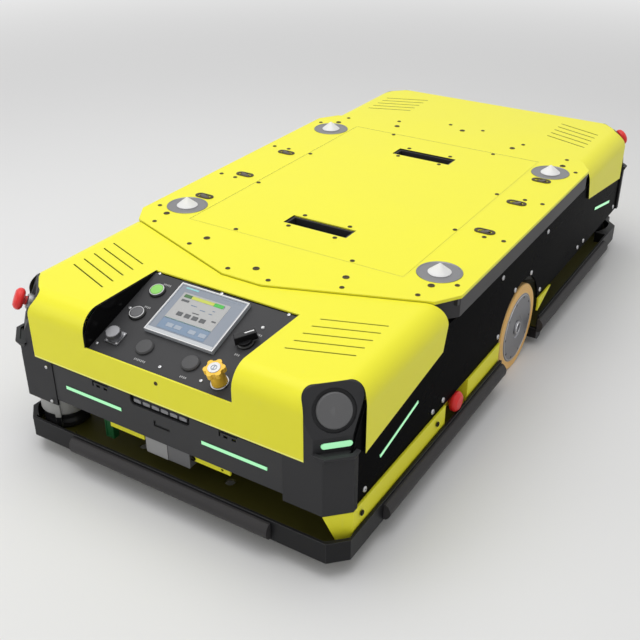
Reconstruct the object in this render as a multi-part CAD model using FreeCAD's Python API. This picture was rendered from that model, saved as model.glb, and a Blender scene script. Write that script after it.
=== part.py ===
import FreeCAD, Part
import math
import os

# Autonomous mobile robot that drives under a load, lifts it on a deck with four locating
# cones and carries it away.
# Millimetres. +X is forward (the end with the control panel), +Y is the robot's left,
# +Z is up. The origin is on the floor under the middle of the deck. The robot is the same
# after half a turn about Z, apart from the control panel end.

V = FreeCAD.Vector
ORIGIN = V(0, 0, 0)
UP = V(0, 0, 1)

# Places near an end are given as distances back from the body's end, and places near a side
# as distances in from its side, so that they follow the body's length and width.

# ---- body ------------------------------------------------------------------------------
body_half_length = 718.0
body_half_width = 344.0
deck_top = 327.0
body_bottom = 125.0           # lower edge of the front and rear panels
face_gap = 0.3                # between pieces that lie beside each other
corner_chamfer = 34.6         # of the body's four upright corners

# ---- end covers ------------------------------------------------------------------------
cover_top = 323.6
cover_sheet = 3.0
cover_bend = 39.0             # outside radius of the long top edges
cover_front_bottom = 203.0
cover_side_rise = 38.0        # how much higher the side skirt ends at the deck
cover_side_start = body_half_length - 330.0   # x of the side skirt's lower corner at the deck
cover_side_slant = 18.0
cover_corner_back = body_half_length - 68.0   # x where its lower edge meets the corner
cover_inner_end = body_half_length - 418.0    # x well under the deck, where tools start
louvre_count = 5
louvre_pitch = 25.7
louvre_width = 3.0
louvre_length = 111.0
louvre_first = (body_half_length - 213.0, 237.6)

# ---- deck ------------------------------------------------------------------------------
deck_thickness = 6.0
deck_half_width = body_half_width + 4.6
deck_straight = body_half_length - 382.0      # half length of the deck's long edges
deck_shoulder = (body_half_length - 337.2, deck_half_width - 28.6)
deck_nose = (body_half_length - 236.4, 42.0)
deck_seam = 1.4
deck_band_bottom = 284.0
deck_band_sheet = 4.0
deck_band_inset = 2.6
deck_rib_height = 21.0
deck_rib_overhang = 45.0      # of the long ribs past the lift points
deck_lift = 50.0
cone_x = deck_straight - 56.0
cone_y = 280.0
cone_radius = 21.0
cone_height = 18.0
seat_radius = 41.0
seat_flange = 46.0
seat_plate = 5.0
seat_rise = 1.2               # of a seat's top over the deck
seat_rim = 2.4
slot_centre = 225.8
slot_size = (39.0, 141.0)
slot_liner_wall = 5.0
oblong_size = (10.0, 25.0)
oblong_row = 280.0
oblong_x = (224.0, 81.2, -81.2)
module_hole_radius = 3.4      # M8 tapped holes for a top module
module_hole_x = 103.5
module_hole_rows = (228.5, 327.2)
load_line = (deck_straight - 6.0, 235.0)      # half sizes of the engraved load area
load_line_width = 1.2
load_line_depth = 0.4

# ---- side panels -----------------------------------------------------------------------
side_panel_face = body_half_width - 4.0
side_panel_sheet = 4.0
side_panel_bottom = 112.8
side_panel_top = 280.0
side_panel_wing_top = 291.0
side_panel_wing_start = body_half_length - 326.0

# ---- corner modules --------------------------------------------------------------------
module_wall = 4.0
module_seam = body_half_width - 105.7         # |y| where a module meets the end panels
module_bottom = 113.0
module_depth = 46.0           # depth of the upper block behind its sloping face
chin_z = 223.0
chin_step = 4.0
chin_height = 9.0
chin_lip = 3.0
module_return = 11.0
lamp_face_setback = 11.5      # lamp face behind the post's face
slope_start_z = 250.0
slope_angle = 24.2
arch_half_width = 47.3
arch_corner = 20.0
arch_gap = 0.5
dish_height = 285.6           # z of the round dish's centre on the sloping face
dish_radius = 33.6
cap_radius = 27.3
cap_proud = 2.5
dish_depth = 4.0
bowl_depth = 13.0
bowl_floor = 24.0
lamp_size = (48.0, 11.0)
lamp_z = 236.5
lamp_depth = 5.0

# ---- front and rear lower panels -------------------------------------------------------
panel_setback = 1.5
panel_sheet = 4.0
panel_lap = 22.0
panel_return = 12.0
strip_lens = (126.0, 7.0)
strip_y = 147.0
strip_z = 162.0
strip_depth = 6.0
side_strip_x = body_half_length - 186.0
side_strip_z = 173.4
side_strip_angle = 11.9
side_strip_length = 131.0
window_y = (-127.5, 137.5)
window_top = 199.0
keyhole_slot = (10.0, 31.0)   # upright and level leg of the angled slot
keyhole_corner = (-14.0, 156.0)
keyhole_width = 2.5
grab_half_width = 62.0
grab_height = 21.0
grab_radius = 9.0
sensor_count = 6
sensor_pitch = 19.0
sensor_eye = (9.0, 4.0)

# ---- base and bumper -------------------------------------------------------------------
rail_half_length = body_half_length + 12.0
rail_half_width = body_half_width + 7.0
rail_top = 73.6
rail_bottom = 34.4
rail_wall = 5.0
rail_corner = 28.0            # chamfer of the two plain corners
rail_step = 27.0              # both chamfers of a scanner corner
rail_step_flat = 20.0
rail_wheel_gap = 105.0
rail_foot_bottom = 14.0
edge_height = 31.0
edge_depth = 13.0
edge_lip = 4.0
tray_floor = 47.0
tray_sheet = 4.0
wall_face = body_half_width - 0.2
wall_sheet = 4.0
wall_top = 112.5
wall_slant_top = 182.0
wall_slant_bottom = 96.0
tray_hole_x = body_half_length - 55.0
tray_hole_y = 94.0
tray_hole_radius = 9.0

# ---- drive wheels ----------------------------------------------------------------------
wheel_radius = 93.2
wheel_face = body_half_width - 5.0
wheel_width = 50.0
hub_radius = 73.6
arch_radius = wheel_radius + 15.8
axle_radius = 15.0
shaft_clearance = 0.05
gearbox_face = wheel_face - 54.0
gearbox_depth = 60.0
gearbox_half_width = 52.0
gearbox_top = wheel_radius + 52.8
motor_radius = 41.0
motor_length = 126.0

# ---- castors ---------------------------------------------------------------------------
castor_x = body_half_length - 198.0
castor_y = 200.0
castor_wheel_radius = 50.0
castor_wheel_width = 32.0
castor_trail = 30.0
castor_plate_top = 119.7
castor_plate_radius = 38.0
castor_plate_thickness = 9.0
castor_pin_radius = 10.0
castor_axle_radius = 5.0
castor_clear_radius = 92.0
fork_cheek = 5.0

# ---- frame and what it carries ---------------------------------------------------------
frame_seat_z = 120.0          # underside of the castor bosses
cross_bottom = 128.0
rail_tube_bottom = gearbox_top + 4.0
rail_tube_top = rail_tube_bottom + 50.0
rail_tube_y = 140.0
rail_tube_width = 40.0
frame_end_x = body_half_length - 14.0
frame_end_sheet = 14.0
frame_end_top = cover_front_bottom - grab_height - 2.0   # the sensor bar stands on it
frame_tab_drop = 17.0
frame_tab_hole = (112.0, 108.5, 2.6)   # y, z and radius
guide_half_width = 46.5
guide_bottom = 84.0
guide_corner = 3.0
cross_width = 100.0
cross_height = 50.0
cross_half_length = body_half_width - 14.0
leg_place = castor_x - 120.0  # clear of the castors' swing
lift_x = castor_x - 190.0
lift_y = 230.0
lift_tube_radius = 27.0
lift_tube_top = 262.0
lift_rod_radius = 12.5
lift_rod_guided = 92.0        # length of rod still in its tube with the deck up
bay_start = 135.0             # x where the bays beside the motors start
battery_bay_end = castor_x - cross_width / 2 - 5.0
battery_size = (battery_bay_end - bay_start, 210.0, 225.0)
controller_start = 150.0
controller_end = castor_x - cross_width / 2 - 20.0
controller_size = (controller_end - controller_start, 200.0, 180.0)

# ---- laser scanners --------------------------------------------------------------------
scanner_place = (body_half_length - 51.0, body_half_width - 68.0)
scanner_radius = 44.0
scanner_base_radius = 42.5
scanner_bottom = 78.0
scanner_top = 125.0
scanner_rib_angle = 28.0
scanner_cut_radius = 90.0
scanner_cut_centre = (body_half_length - 76.0, body_half_width - 98.0)

# ---- control panel ---------------------------------------------------------------------
recess_half_width = 150.0
recess_back = body_half_length - 189.0
recess_lip_z = 261.0
recess_sheet = 3.0
panel_angle = 19.3
panel_origin = (body_half_length - 190.2, 321.4)   # x, z of the plate's upper edge
plate_thickness = 3.0
hmi_along = (12.6, 125.7)
hmi_across = (-79.8, 61.6)
hmi_height = 8.0
hmi_border = 4.0
start_place = (41.7, -116.5)
stop_place = (98.6, -117.3)
bezel_radius = 14.8
bezel_height = 5.0
button_radius = 11.6
button_travel = 2.5
selector_place = (84.0, 98.0)
key_place = (169.1, 105.3)
socket_place = (157.1, -118.2)
cap_places = ((156.2, -56.0), (155.1, 38.1))

# ---- emergency stops -------------------------------------------------------------------
estop_head_radius = 19.6
estop_stem_radius = 8.0
estop_collar_radius = 14.0
estop_collar_height = 8.0
estop_travel = 4.0
estop_head_base = estop_collar_height + estop_travel + 1.0
estop_head_height = 17.0
side_estop_x = 308.0
side_estop_z = 92.8
side_estop_stand = 13.0       # of the button's base over its plate
side_estop_pocket = 48.0      # half width of the gap in the base wall
side_estop_plate_y = wall_face - 34.8


# ---- helpers ---------------------------------------------------------------------------
def block(xa, xb, ya, yb, za, zb):
    """A box between two limits on each axis, given in either order."""
    x0, x1 = sorted((xa, xb))
    y0, y1 = sorted((ya, yb))
    z0, z1 = sorted((za, zb))
    return Part.makeBox(x1 - x0, y1 - y0, z1 - z0, V(x0, y0, z0))


def rod(radius, length, start, direction=UP):
    return Part.makeCylinder(radius, length, start, direction)


def face_of(points):
    return Part.Face(Part.makePolygon(points + [points[0]]))


def prism(outline, z0, z1):
    """A plan outline of (x, y) points, extruded upwards."""
    return face_of([V(x, y, z0) for x, y in outline]).extrude(V(0, 0, z1 - z0))


def side_prism(outline, y0, y1):
    """A side outline of (x, z) points, extruded along Y."""
    return face_of([V(x, y0, z) for x, z in outline]).extrude(V(0, y1 - y0, 0))


def turned_profile(outline):
    """A closed (radius, z) outline revolved about Z."""
    return face_of([V(r, 0, z) for r, z in outline]).revolve(ORIGIN, UP, 360)


def capsule(length, width, depth):
    """A flat-sided slot shape along Y, from z = 0 up to depth."""
    r = width / 2
    half = length / 2 - r
    shape = block(-r, r, -half, half, 0, depth)
    for end in (-half, half):
        shape = shape.fuse(rod(r, depth, V(0, end, 0)))
    return shape.removeSplitter()


def placed(shape, base, rotation=None):
    out = shape.copy()
    out.Placement = FreeCAD.Placement(base, rotation or FreeCAD.Rotation()).multiply(out.Placement)
    return out


def half_turn(shape):
    out = shape.copy()
    out.rotate(ORIGIN, UP, 180)
    return out


def mirrored(shape):
    """The same piece on the other side of the robot."""
    return shape.mirror(ORIGIN, V(0, 1, 0))


def joined(shapes):
    out = shapes[0]
    if len(shapes) > 1:
        out = out.fuse(shapes[1:])
    return out.removeSplitter()


def save(node, *shapes):
    shape = shapes[0] if len(shapes) == 1 else Part.makeCompound(list(shapes))
    shape.exportStep("parts/" + node + ".step")


# ---- end covers ------------------------------------------------------------------------
def bent_block(inset, x_back, z_low):
    """The end's outer form with its rounded top edges, moved inwards by inset."""
    x_out = body_half_length - inset
    y_out = body_half_width - inset
    z_out = cover_top - inset
    r = cover_bend - inset
    slope = r * math.sqrt(0.5)
    nose = [
        Part.makeLine(V(x_back, -y_out, z_low), V(x_out, -y_out, z_low)),
        Part.makeLine(V(x_out, -y_out, z_low), V(x_out, -y_out, z_out - r)),
        Part.Arc(V(x_out, -y_out, z_out - r), V(x_out - r + slope, -y_out, z_out - r + slope),
                 V(x_out - r, -y_out, z_out)).toShape(),
        Part.makeLine(V(x_out - r, -y_out, z_out), V(x_back, -y_out, z_out)),
        Part.makeLine(V(x_back, -y_out, z_out), V(x_back, -y_out, z_low)),
    ]
    lengthwise = Part.Face(Part.Wire(nose)).extrude(V(0, 2 * y_out, 0))
    section = [
        Part.makeLine(V(x_back, -y_out, z_low), V(x_back, y_out, z_low)),
        Part.makeLine(V(x_back, y_out, z_low), V(x_back, y_out, z_out - r)),
        Part.Arc(V(x_back, y_out, z_out - r), V(x_back, y_out - r + slope, z_out - r + slope),
                 V(x_back, y_out - r, z_out)).toShape(),
        Part.makeLine(V(x_back, y_out - r, z_out), V(x_back, r - y_out, z_out)),
        Part.Arc(V(x_back, r - y_out, z_out), V(x_back, r - y_out - slope, z_out - r + slope),
                 V(x_back, -y_out, z_out - r)).toShape(),
        Part.makeLine(V(x_back, -y_out, z_out - r), V(x_back, -y_out, z_low)),
    ]
    crosswise = Part.Face(Part.Wire(section)).extrude(V(x_out - x_back, 0, 0))
    return lengthwise.common(crosswise)


def seam_outline(gap):
    """The deck's outline at one end, moved forward by gap and run out past the sides."""
    run_out = 60.0
    slope = (deck_nose[0] - deck_shoulder[0]) / (deck_shoulder[1] - deck_nose[1])
    outer = (deck_shoulder[0] + gap - slope * run_out, deck_shoulder[1] + run_out)
    side = [(deck_nose[0] + gap, deck_nose[1]), (deck_shoulder[0] + gap, deck_shoulder[1]), outer]
    return [(x, -y) for x, y in reversed(side)] + side


def arch_tool(gap):
    """The arched opening for a corner module, square to its sloping face, at +X +Y."""
    half = arch_half_width + gap
    slope = math.radians(slope_angle)
    top = (cover_top - chin_z) / math.cos(slope) + gap
    r = arch_corner
    low = -260.0
    reach = 140.0
    mid = r * math.sqrt(0.5)
    edges = [
        Part.makeLine(V(-reach, -half, low), V(-reach, half, low)),
        Part.makeLine(V(-reach, half, low), V(-reach, half, top - r)),
        Part.Arc(V(-reach, half, top - r), V(-reach, half - r + mid, top - r + mid),
                 V(-reach, half - r, top)).toShape(),
        Part.makeLine(V(-reach, half - r, top), V(-reach, r - half, top)),
        Part.Arc(V(-reach, r - half, top), V(-reach, r - half - mid, top - r + mid),
                 V(-reach, -half, top - r)).toShape(),
        Part.makeLine(V(-reach, -half, top - r), V(-reach, -half, low)),
    ]
    tool = Part.Face(Part.Wire(edges)).extrude(V(2 * reach, 0, 0))
    tool.rotate(ORIGIN, V(0, 1, 0), -slope_angle)
    return on_diagonal(tool, post_depth(), chin_z)


def post_depth():
    """Distance from the Z axis, along the diagonal, of a corner post's face."""
    return (body_half_length + body_half_width - corner_chamfer) / math.sqrt(2)


def diagonal_base():
    """Plan position on a corner's centre line, at diagonal distance 0."""
    offset = (body_half_length - body_half_width) / 2
    return V(offset, -offset, 0)


def on_diagonal(shape, depth, z):
    """Moves a shape made about the origin, facing +X, to the +X +Y corner's diagonal."""
    out = shape.copy()
    out.rotate(ORIGIN, UP, 45)
    out.translate(diagonal_base() + V(depth, depth, 0) * math.sqrt(0.5) + V(0, 0, z))
    return out


def slope_depth(z):
    """Diagonal distance of the sloping face at height z."""
    start = post_depth() - lamp_face_setback
    return start - (z - slope_start_z) * math.tan(math.radians(slope_angle))


def side_skirt_tool():
    """What is cut from below so that the side skirts rise towards the deck."""
    low = cover_front_bottom
    high = low + cover_side_rise
    outline = [
        (cover_inner_end, low - 10), (cover_corner_back, low - 10), (cover_corner_back, low),
        (cover_side_start, high), (cover_side_start - cover_side_slant, cover_top - 25),
        (cover_inner_end, cover_top - 25),
    ]
    reach = body_half_width + 10
    return side_prism(outline, -reach, reach)


def louvre_tools():
    tools = []
    slope = (deck_nose[0] - deck_shoulder[0]) / (deck_shoulder[1] - deck_nose[1])
    angle = math.degrees(math.atan(slope))
    for i in range(louvre_count):
        slot = capsule(louvre_length, louvre_width, 20.0)
        slot.rotate(ORIGIN, UP, angle)
        x = louvre_first[0] + i * louvre_pitch
        slot.translate(V(x, louvre_first[1], cover_top - 10))
        tools += [slot, mirrored(slot)]
    return tools


def end_cover():
    """The folded sheet cover of one end, without the control panel's opening."""
    outer = bent_block(0, cover_inner_end, cover_front_bottom)
    inner = bent_block(cover_sheet, cover_inner_end - 10, cover_front_bottom - 10)
    seam = seam_outline(deck_seam)
    far = body_half_length + 80
    plan = prism(seam + [(far, seam[-1][1]), (far, seam[0][1])], 150.0, 400.0)
    arch = arch_tool(0)
    cover = outer.cut(inner).common(plan)
    return cover.cut([side_skirt_tool(), arch, mirrored(arch)] + louvre_tools()).removeSplitter()


def front_cover():
    opening = block(recess_back, body_half_length + 10, -recess_half_width, recess_half_width,
                    recess_lip_z, cover_top + 10)
    return end_cover().cut(opening)


# ---- corner modules --------------------------------------------------------------------
def diagonal_prism(outline, half_width):
    """An outline of (diagonal distance, z) points, extruded across the +X +Y corner."""
    shape = side_prism([(d, z) for d, z in outline], -half_width, half_width)
    return on_diagonal(shape, 0, 0)


def sloping_rotation():
    """Turns +Z to the normal of the +X +Y corner's sloping face."""
    lean = FreeCAD.Rotation(V(0, 1, 0), 90 - slope_angle)
    return FreeCAD.Rotation(UP, 45).multiply(lean)


def dish_centre(lift=0.0):
    """Centre of the round dish, lift millimetres out of the sloping face."""
    depth = slope_depth(dish_height)
    centre = diagonal_base() + V(depth, depth, 0) * math.sqrt(0.5) + V(0, 0, dish_height)
    return centre + sloping_rotation().multVec(UP) * lift


def lamp_shape(gap):
    shape = capsule(lamp_size[0] + 2 * gap, lamp_size[1] + 2 * gap, lamp_depth + gap)
    shape.rotate(ORIGIN, V(0, 1, 0), 90)
    return on_diagonal(shape, post_depth() - lamp_face_setback - lamp_depth + 0.8 - gap, lamp_z)


def module_block(inset):
    """Upper block inside the arch; inset makes the hollow that leaves its walls."""
    low = cover_front_bottom - 14 - 3 * inset
    top = cover_top - inset
    back = slope_depth(cover_top) - module_depth - 3 * inset
    face = post_depth() - lamp_face_setback - inset
    outline = [(back, low)]
    if inset:
        outline += [(face, low)]
    else:
        outline += [(post_depth(), low), (post_depth(), chin_z), (face, chin_z)]
    outline += [(face, slope_start_z), (slope_depth(top) - inset, top), (back, top)]
    limits = bent_block(inset, body_half_length - 158, low).common(arch_tool(-arch_gap - inset))
    side = side_panel_face - side_panel_sheet - face_gap - inset
    limits = limits.cut(block(0, body_half_length + 80, side, body_half_width + 60, 0, 400.0))
    return diagonal_prism(outline, 75.0).common(limits)


def chin():
    """Ledge under the lamp: flares out from the post and runs back along both faces."""
    wires = []
    for step, z, back in ((0.0, chin_z - chin_height, 0.0), (chin_step, chin_z, 9.0)):
        x = body_half_length + step
        y = body_half_width + step
        k = corner_chamfer - step * (2 - math.sqrt(2))
        tip = body_half_width - corner_chamfer - 7.0 - back
        tip_x = body_half_length - corner_chamfer - 1.0 - back
        points = [(body_half_length - 3, tip), (x, tip), (x, y - k), (x - k, y), (tip_x, y),
                  (tip_x, body_half_width - 3), (x - k - 3, body_half_width - 3),
                  (body_half_length - 3, y - k - 3)]
        wires.append(Part.makePolygon([V(px, py, z) for px, py in points + points[:1]]))
    flare = Part.makeLoft(wires, True, True)
    lip = Part.Face(wires[1]).extrude(V(0, 0, chin_lip))
    return flare.fuse(lip)


def corner_module(with_estop):
    """Moulded corner: post and front wall below, chin, lamp face and sloping face above."""
    split = cover_front_bottom - face_gap
    post = diagonal_prism([(post_depth() - module_wall, module_bottom),
                           (post_depth(), module_bottom), (post_depth(), chin_z),
                           (post_depth() - module_wall, chin_z)], 60.0)
    reach = 160.0
    post = post.common(block(body_half_length - reach, body_half_length, body_half_width - reach,
                             body_half_width, module_bottom, chin_z))
    front = block(body_half_length - module_wall, body_half_length, module_seam,
                  body_half_width - corner_chamfer + 0.5, module_bottom, split)
    side = block(body_half_length - corner_chamfer - module_return,
                 body_half_length - corner_chamfer, side_panel_face + face_gap, body_half_width,
                 module_bottom, chin_z)
    upper = module_block(0)
    hollow = module_block(module_wall)
    turn = sloping_rotation()
    if with_estop:
        shell = Part.makeCone(bowl_floor + 3, dish_radius + 3, bowl_depth + 3)
        shell = placed(shell, dish_centre(-bowl_depth - 3), turn)
        dish = placed(Part.makeCone(bowl_floor, dish_radius, bowl_depth),
                      dish_centre(-bowl_depth), turn)
    else:
        shell = placed(rod(dish_radius + 3, dish_depth + 3, ORIGIN), dish_centre(-dish_depth - 3),
                       turn)
        dish = placed(rod(dish_radius, dish_depth + 5, ORIGIN), dish_centre(-dish_depth), turn)
    shell = shell.common(upper)
    body = joined([post, front, side, upper.cut(hollow), shell, chin()])
    return body.cut([dish, lamp_shape(face_gap)])


def corner_cap():
    edge = 1.5
    outline = [(0, 0), (cap_radius, 0), (cap_radius, dish_depth + cap_proud - edge),
               (cap_radius - edge, dish_depth + cap_proud), (0, dish_depth + cap_proud + 0.8)]
    return placed(turned_profile(outline), dish_centre(-dish_depth), sloping_rotation())


# ---- front and rear lower panels -------------------------------------------------------
def lower_panel(with_grab):
    face = body_half_length - panel_setback
    lap_face = body_half_length - cover_sheet - 2 * face_gap
    lap_top = cover_front_bottom + panel_lap
    step = cover_front_bottom - face_gap
    outline = [
        (face, body_bottom), (face, step), (lap_face, step), (lap_face, lap_top),
        (lap_face - 3, lap_top), (lap_face - 3, step - 4), (face - panel_sheet, step - 8),
        (face - panel_sheet, body_bottom + 3), (face - panel_return, body_bottom + 3),
        (face - panel_return, body_bottom),
    ]
    half = module_seam - face_gap
    panel = side_prism(outline, -half, half)
    cuts = [lens_shape(y, face_gap) for y in (-strip_y, strip_y)]
    for y in window_y:
        cuts += window_tools(y)
    if with_grab:
        cuts += [grab_tool(0, grab_half_width)] + keyhole_tools()
    return panel.cut(cuts)


def keyhole_tools():
    """The angled slot in the middle of the front panel."""
    x0 = body_half_length - 30
    x1 = body_half_length + 5
    upright, low_leg = keyhole_slot
    y0, z0 = keyhole_corner
    return [block(x0, x1, y0, y0 + keyhole_width, z0, z0 + upright),
            block(x0, x1, y0, y0 + low_leg, z0, z0 + keyhole_width)]


def window_tools(y):
    """Slots that show the latch behind the panel: a bar over two squares."""
    x0 = body_half_length - 30
    x1 = body_half_length + 5
    z1 = window_top
    return [block(x0, x1, y - 18, y + 18, z1 - 3, z1), block(x0, x1, y - 18, y - 15, z1 - 11, z1),
            block(x0, x1, y - 9, y - 1, z1 - 11, z1 - 6), block(x0, x1, y + 7, y + 15, z1 - 11,
                                                               z1 - 6)]


def lens_shape(y, gap):
    """A straight light strip lens in the front panel."""
    face = body_half_length - panel_setback
    shape = block(-strip_depth - gap, 1.0, -strip_lens[0] / 2 - gap, strip_lens[0] / 2 + gap,
                  -strip_lens[1] / 2 - gap, strip_lens[1] / 2 + gap)
    shape.translate(V(face, y, strip_z))
    return shape


def side_lens_shape(gap):
    """A slanted light strip lens in the left side panel, near the front."""
    half = side_strip_length / 2 + gap
    shape = block(-half, half, -strip_depth - gap, 1.0, -strip_lens[1] / 2 - gap,
                  strip_lens[1] / 2 + gap)
    shape.rotate(ORIGIN, V(0, 1, 0), side_strip_angle)
    shape.translate(V(side_strip_x, side_panel_face, side_strip_z))
    return shape


def grab_tool(inset, half_width):
    """The recess under the nose: square above, with rounded lower corners."""
    top = cover_front_bottom - face_gap + 1
    low = cover_front_bottom - grab_height + inset
    x0 = body_half_length - panel_setback - panel_sheet - 5
    shape = block(x0, body_half_length + 5, -half_width, half_width, low, top)
    edges = [e for e in shape.Edges if abs(e.CenterOfMass.z - low) < 0.01
             and abs(abs(e.CenterOfMass.y) - half_width) < 0.01]
    return shape.makeFillet(grab_radius, edges)


def sensor_bar():
    """Row of short-range sensors behind the nose recess."""
    back = body_half_length - cover_sheet - 3 * face_gap - 3
    z0 = frame_end_top
    bar = block(back - 10, back, -grab_half_width - 4, grab_half_width + 4, z0, z0 + 22)
    bar = bar.fuse(block(back - 1, back + 2.5, -56.0, 56.0, z0 + 8, z0 + 18))
    width, height = sensor_eye
    for i in range(sensor_count):
        y = (i - (sensor_count - 1) / 2) * sensor_pitch
        bar = bar.fuse(block(back + 2, back + 3.5, y - width / 2, y + width / 2,
                             z0 + 13 - height / 2, z0 + 13 + height / 2))
    return bar.removeSplitter()


# ---- side panels -----------------------------------------------------------------------
def side_panel():
    """The left panel: arch over the wheel, wings that rise behind the end covers."""
    post_face = post_depth() - module_wall - face_gap
    front = math.sqrt(2) * post_face - side_panel_face
    slope = math.tan(math.radians(slope_angle))
    behind = slope_depth(side_panel_wing_top)
    ear_top = math.sqrt(2) * behind - side_panel_face
    ear_low = math.sqrt(2) * slope_depth(slope_start_z) - side_panel_face
    half = [
        (side_panel_wing_start, side_panel_top), (side_panel_wing_start, side_panel_wing_top),
        (ear_top, side_panel_wing_top), (min(ear_low, front), slope_start_z), (front, chin_z),
        (front, side_panel_bottom),
    ]
    outline = half + [(-x, z) for x, z in reversed(half)]
    panel = side_prism(outline, side_panel_face - side_panel_sheet, side_panel_face)
    arch = rod(arch_radius, 30.0, V(0, side_panel_face - 15, wheel_radius), V(0, 1, 0))
    lens = side_lens_shape(face_gap)
    return panel.cut([arch, lens, mirrored(half_turn(lens))])


# ---- base tray -------------------------------------------------------------------------
def rail_outline(inset=0.0):
    """Front half of the bumper rail in plan, from the left side round to the right."""
    x = rail_half_length - inset
    y = rail_half_width - inset
    plain = rail_corner
    step = rail_step
    flat = rail_step_flat
    return [
        (0.0, y), (x - plain, y), (x, y - plain), (x, 2 * step - y),
        (x - step, step - y), (x - step - flat, step - y), (x - 2 * step - flat, -y), (0.0, -y),
    ]


def wheel_gap_tool(z0, z1, inner=180.0):
    tools = []
    for side in (-1, 1):
        tools.append(block(-rail_wheel_gap, rail_wheel_gap, side * inner,
                           side * (rail_half_width + 50), z0, z1))
    return tools


def bumper_rail():
    """The front rail: a folded rim, solid round the scanner."""
    outer = prism(rail_outline(), rail_bottom, rail_top)
    inner = prism(rail_outline(rail_wall), rail_bottom - 5, rail_top + 5)
    reach = rail_half_width + 10
    keep = block(rail_half_length - 140, rail_half_length - 10, -rail_half_width,
                 151 - rail_half_width, rail_bottom, rail_top)
    keep = keep.cut(rod(scanner_cut_radius, 80.0,
                        V(scanner_cut_centre[0], -scanner_cut_centre[1], rail_bottom - 5)))
    keep = keep.common(inner).cut(block(0, rail_half_length, -reach, 0, rail_bottom - 1,
                                        tray_floor))
    rail = outer.cut(inner).fuse(keep)
    rail = rail.cut(block(-5.0, rail_wheel_gap, -reach, reach, 0, 200.0))
    return rail.fuse(rail_foot()).removeSplitter()


def rail_foot():
    """Rounded foot at the right rail's wheel end that sweeps litter away from the wheel."""
    x0 = rail_wheel_gap - 7
    foot = block(x0, x0 + 33, -rail_half_width, -rail_half_width + 30, rail_foot_bottom,
                 tray_floor - tray_sheet)
    edges = [e for e in foot.Edges if abs(e.CenterOfMass.z - rail_foot_bottom) < 0.1
             and abs(e.CenterOfMass.x - x0 - 16.5) > 10]
    return foot.makeFillet(13.0, edges)


def edge_profile_along_y(x, y0, y1):
    """A rubber safety edge on the front rail: flat back, short lips, bulged nose."""
    z0 = (rail_top + rail_bottom - edge_height) / 2 - 1.0
    z1 = z0 + edge_height
    mid = (z0 + z1) / 2
    edges = [
        Part.makeLine(V(x, y0, z0), V(x + edge_lip, y0, z0)),
        Part.Arc(V(x + edge_lip, y0, z0), V(x + edge_depth, y0, mid),
                 V(x + edge_lip, y0, z1)).toShape(),
        Part.makeLine(V(x + edge_lip, y0, z1), V(x, y0, z1)),
        Part.makeLine(V(x, y0, z1), V(x, y0, z0)),
    ]
    return Part.Face(Part.Wire(edges)).extrude(V(0, y1 - y0, 0))


def side_edge(x0, x1):
    """A rubber safety edge on the left side."""
    shape = edge_profile_along_y(rail_half_width, -x1, -x0)
    shape.rotate(ORIGIN, UP, 90)
    return shape


def tray_wall():
    """Left base wall: from the wheel to the front corner, and a short piece behind it."""
    y1 = wall_face
    y0 = y1 - wall_sheet
    arch = rod(arch_radius, 30.0, V(0, y1 - 15, wheel_radius), V(0, 1, 0))
    corner_x = body_half_length - corner_chamfer
    floor = tray_floor - 1
    front = side_prism([(60.0, floor), (corner_x, floor), (corner_x, wall_top), (60.0, wall_top)],
                       y0, y1)
    rear = side_prism([(-60.0, wall_top), (-wall_slant_top, wall_top),
                       (-wall_slant_bottom, tray_floor + 30), (-60.0, tray_floor + 30)], y0, y1)
    pocket = block(side_estop_x - side_estop_pocket, side_estop_x + side_estop_pocket,
                   y0 - 1, y1 + 1, floor - 1, wall_top + 1)
    walls = front.cut(pocket).fuse(rear).cut(arch)
    post = post_depth()
    turn = [(-corner_chamfer * math.sqrt(0.5), floor), (-corner_chamfer * math.sqrt(0.5), wall_top),
            (corner_chamfer * math.sqrt(0.5), wall_top), (-3.0, floor)]
    wire = [V(post - wall_sheet, -a, z) for a, z in turn]
    corner = face_of(wire).extrude(V(wall_sheet, 0, 0))
    corner = on_diagonal(corner, 0, 0)
    return walls.fuse([corner, estop_pocket()])


def estop_pocket():
    """Folded pocket behind the gap in the base wall that carries a side stop button."""
    half = side_estop_pocket
    sheet = 3.0
    y0 = side_estop_plate_y
    y1 = wall_face - wall_sheet + 1.0
    back = block(side_estop_x - half - sheet, side_estop_x + half + sheet, y0, y0 + sheet,
                 tray_floor - 1, wall_top)
    sides = [block(side_estop_x + s * half - (sheet if s < 0 else 0),
                   side_estop_x + s * half + (sheet if s > 0 else 0), y0, y1, tray_floor - 1,
                   wall_top) for s in (-1, 1)]
    return back.fuse(sides)


def base_tray():
    """Floor with its openings, and both base walls."""
    inset = rail_wall
    front = rail_outline(inset)
    outline = front[:-1] + [(-x, -y) for x, y in front[:-1]]
    floor = prism(outline, tray_floor - tray_sheet, tray_floor)
    cuts = wheel_gap_tool(0, 200.0)
    for sx in (-1, 1):
        for sy in (-1, 1):
            cuts.append(rod(castor_clear_radius, 60.0, V(sx * castor_x, sy * castor_y, 0)))
            cuts.append(rod(tray_hole_radius, 60.0, V(sx * tray_hole_x, sy * tray_hole_y, 0)))
    wall = tray_wall()
    return floor.cut(cuts).fuse([wall, half_turn(wall)]).removeSplitter()


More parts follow.
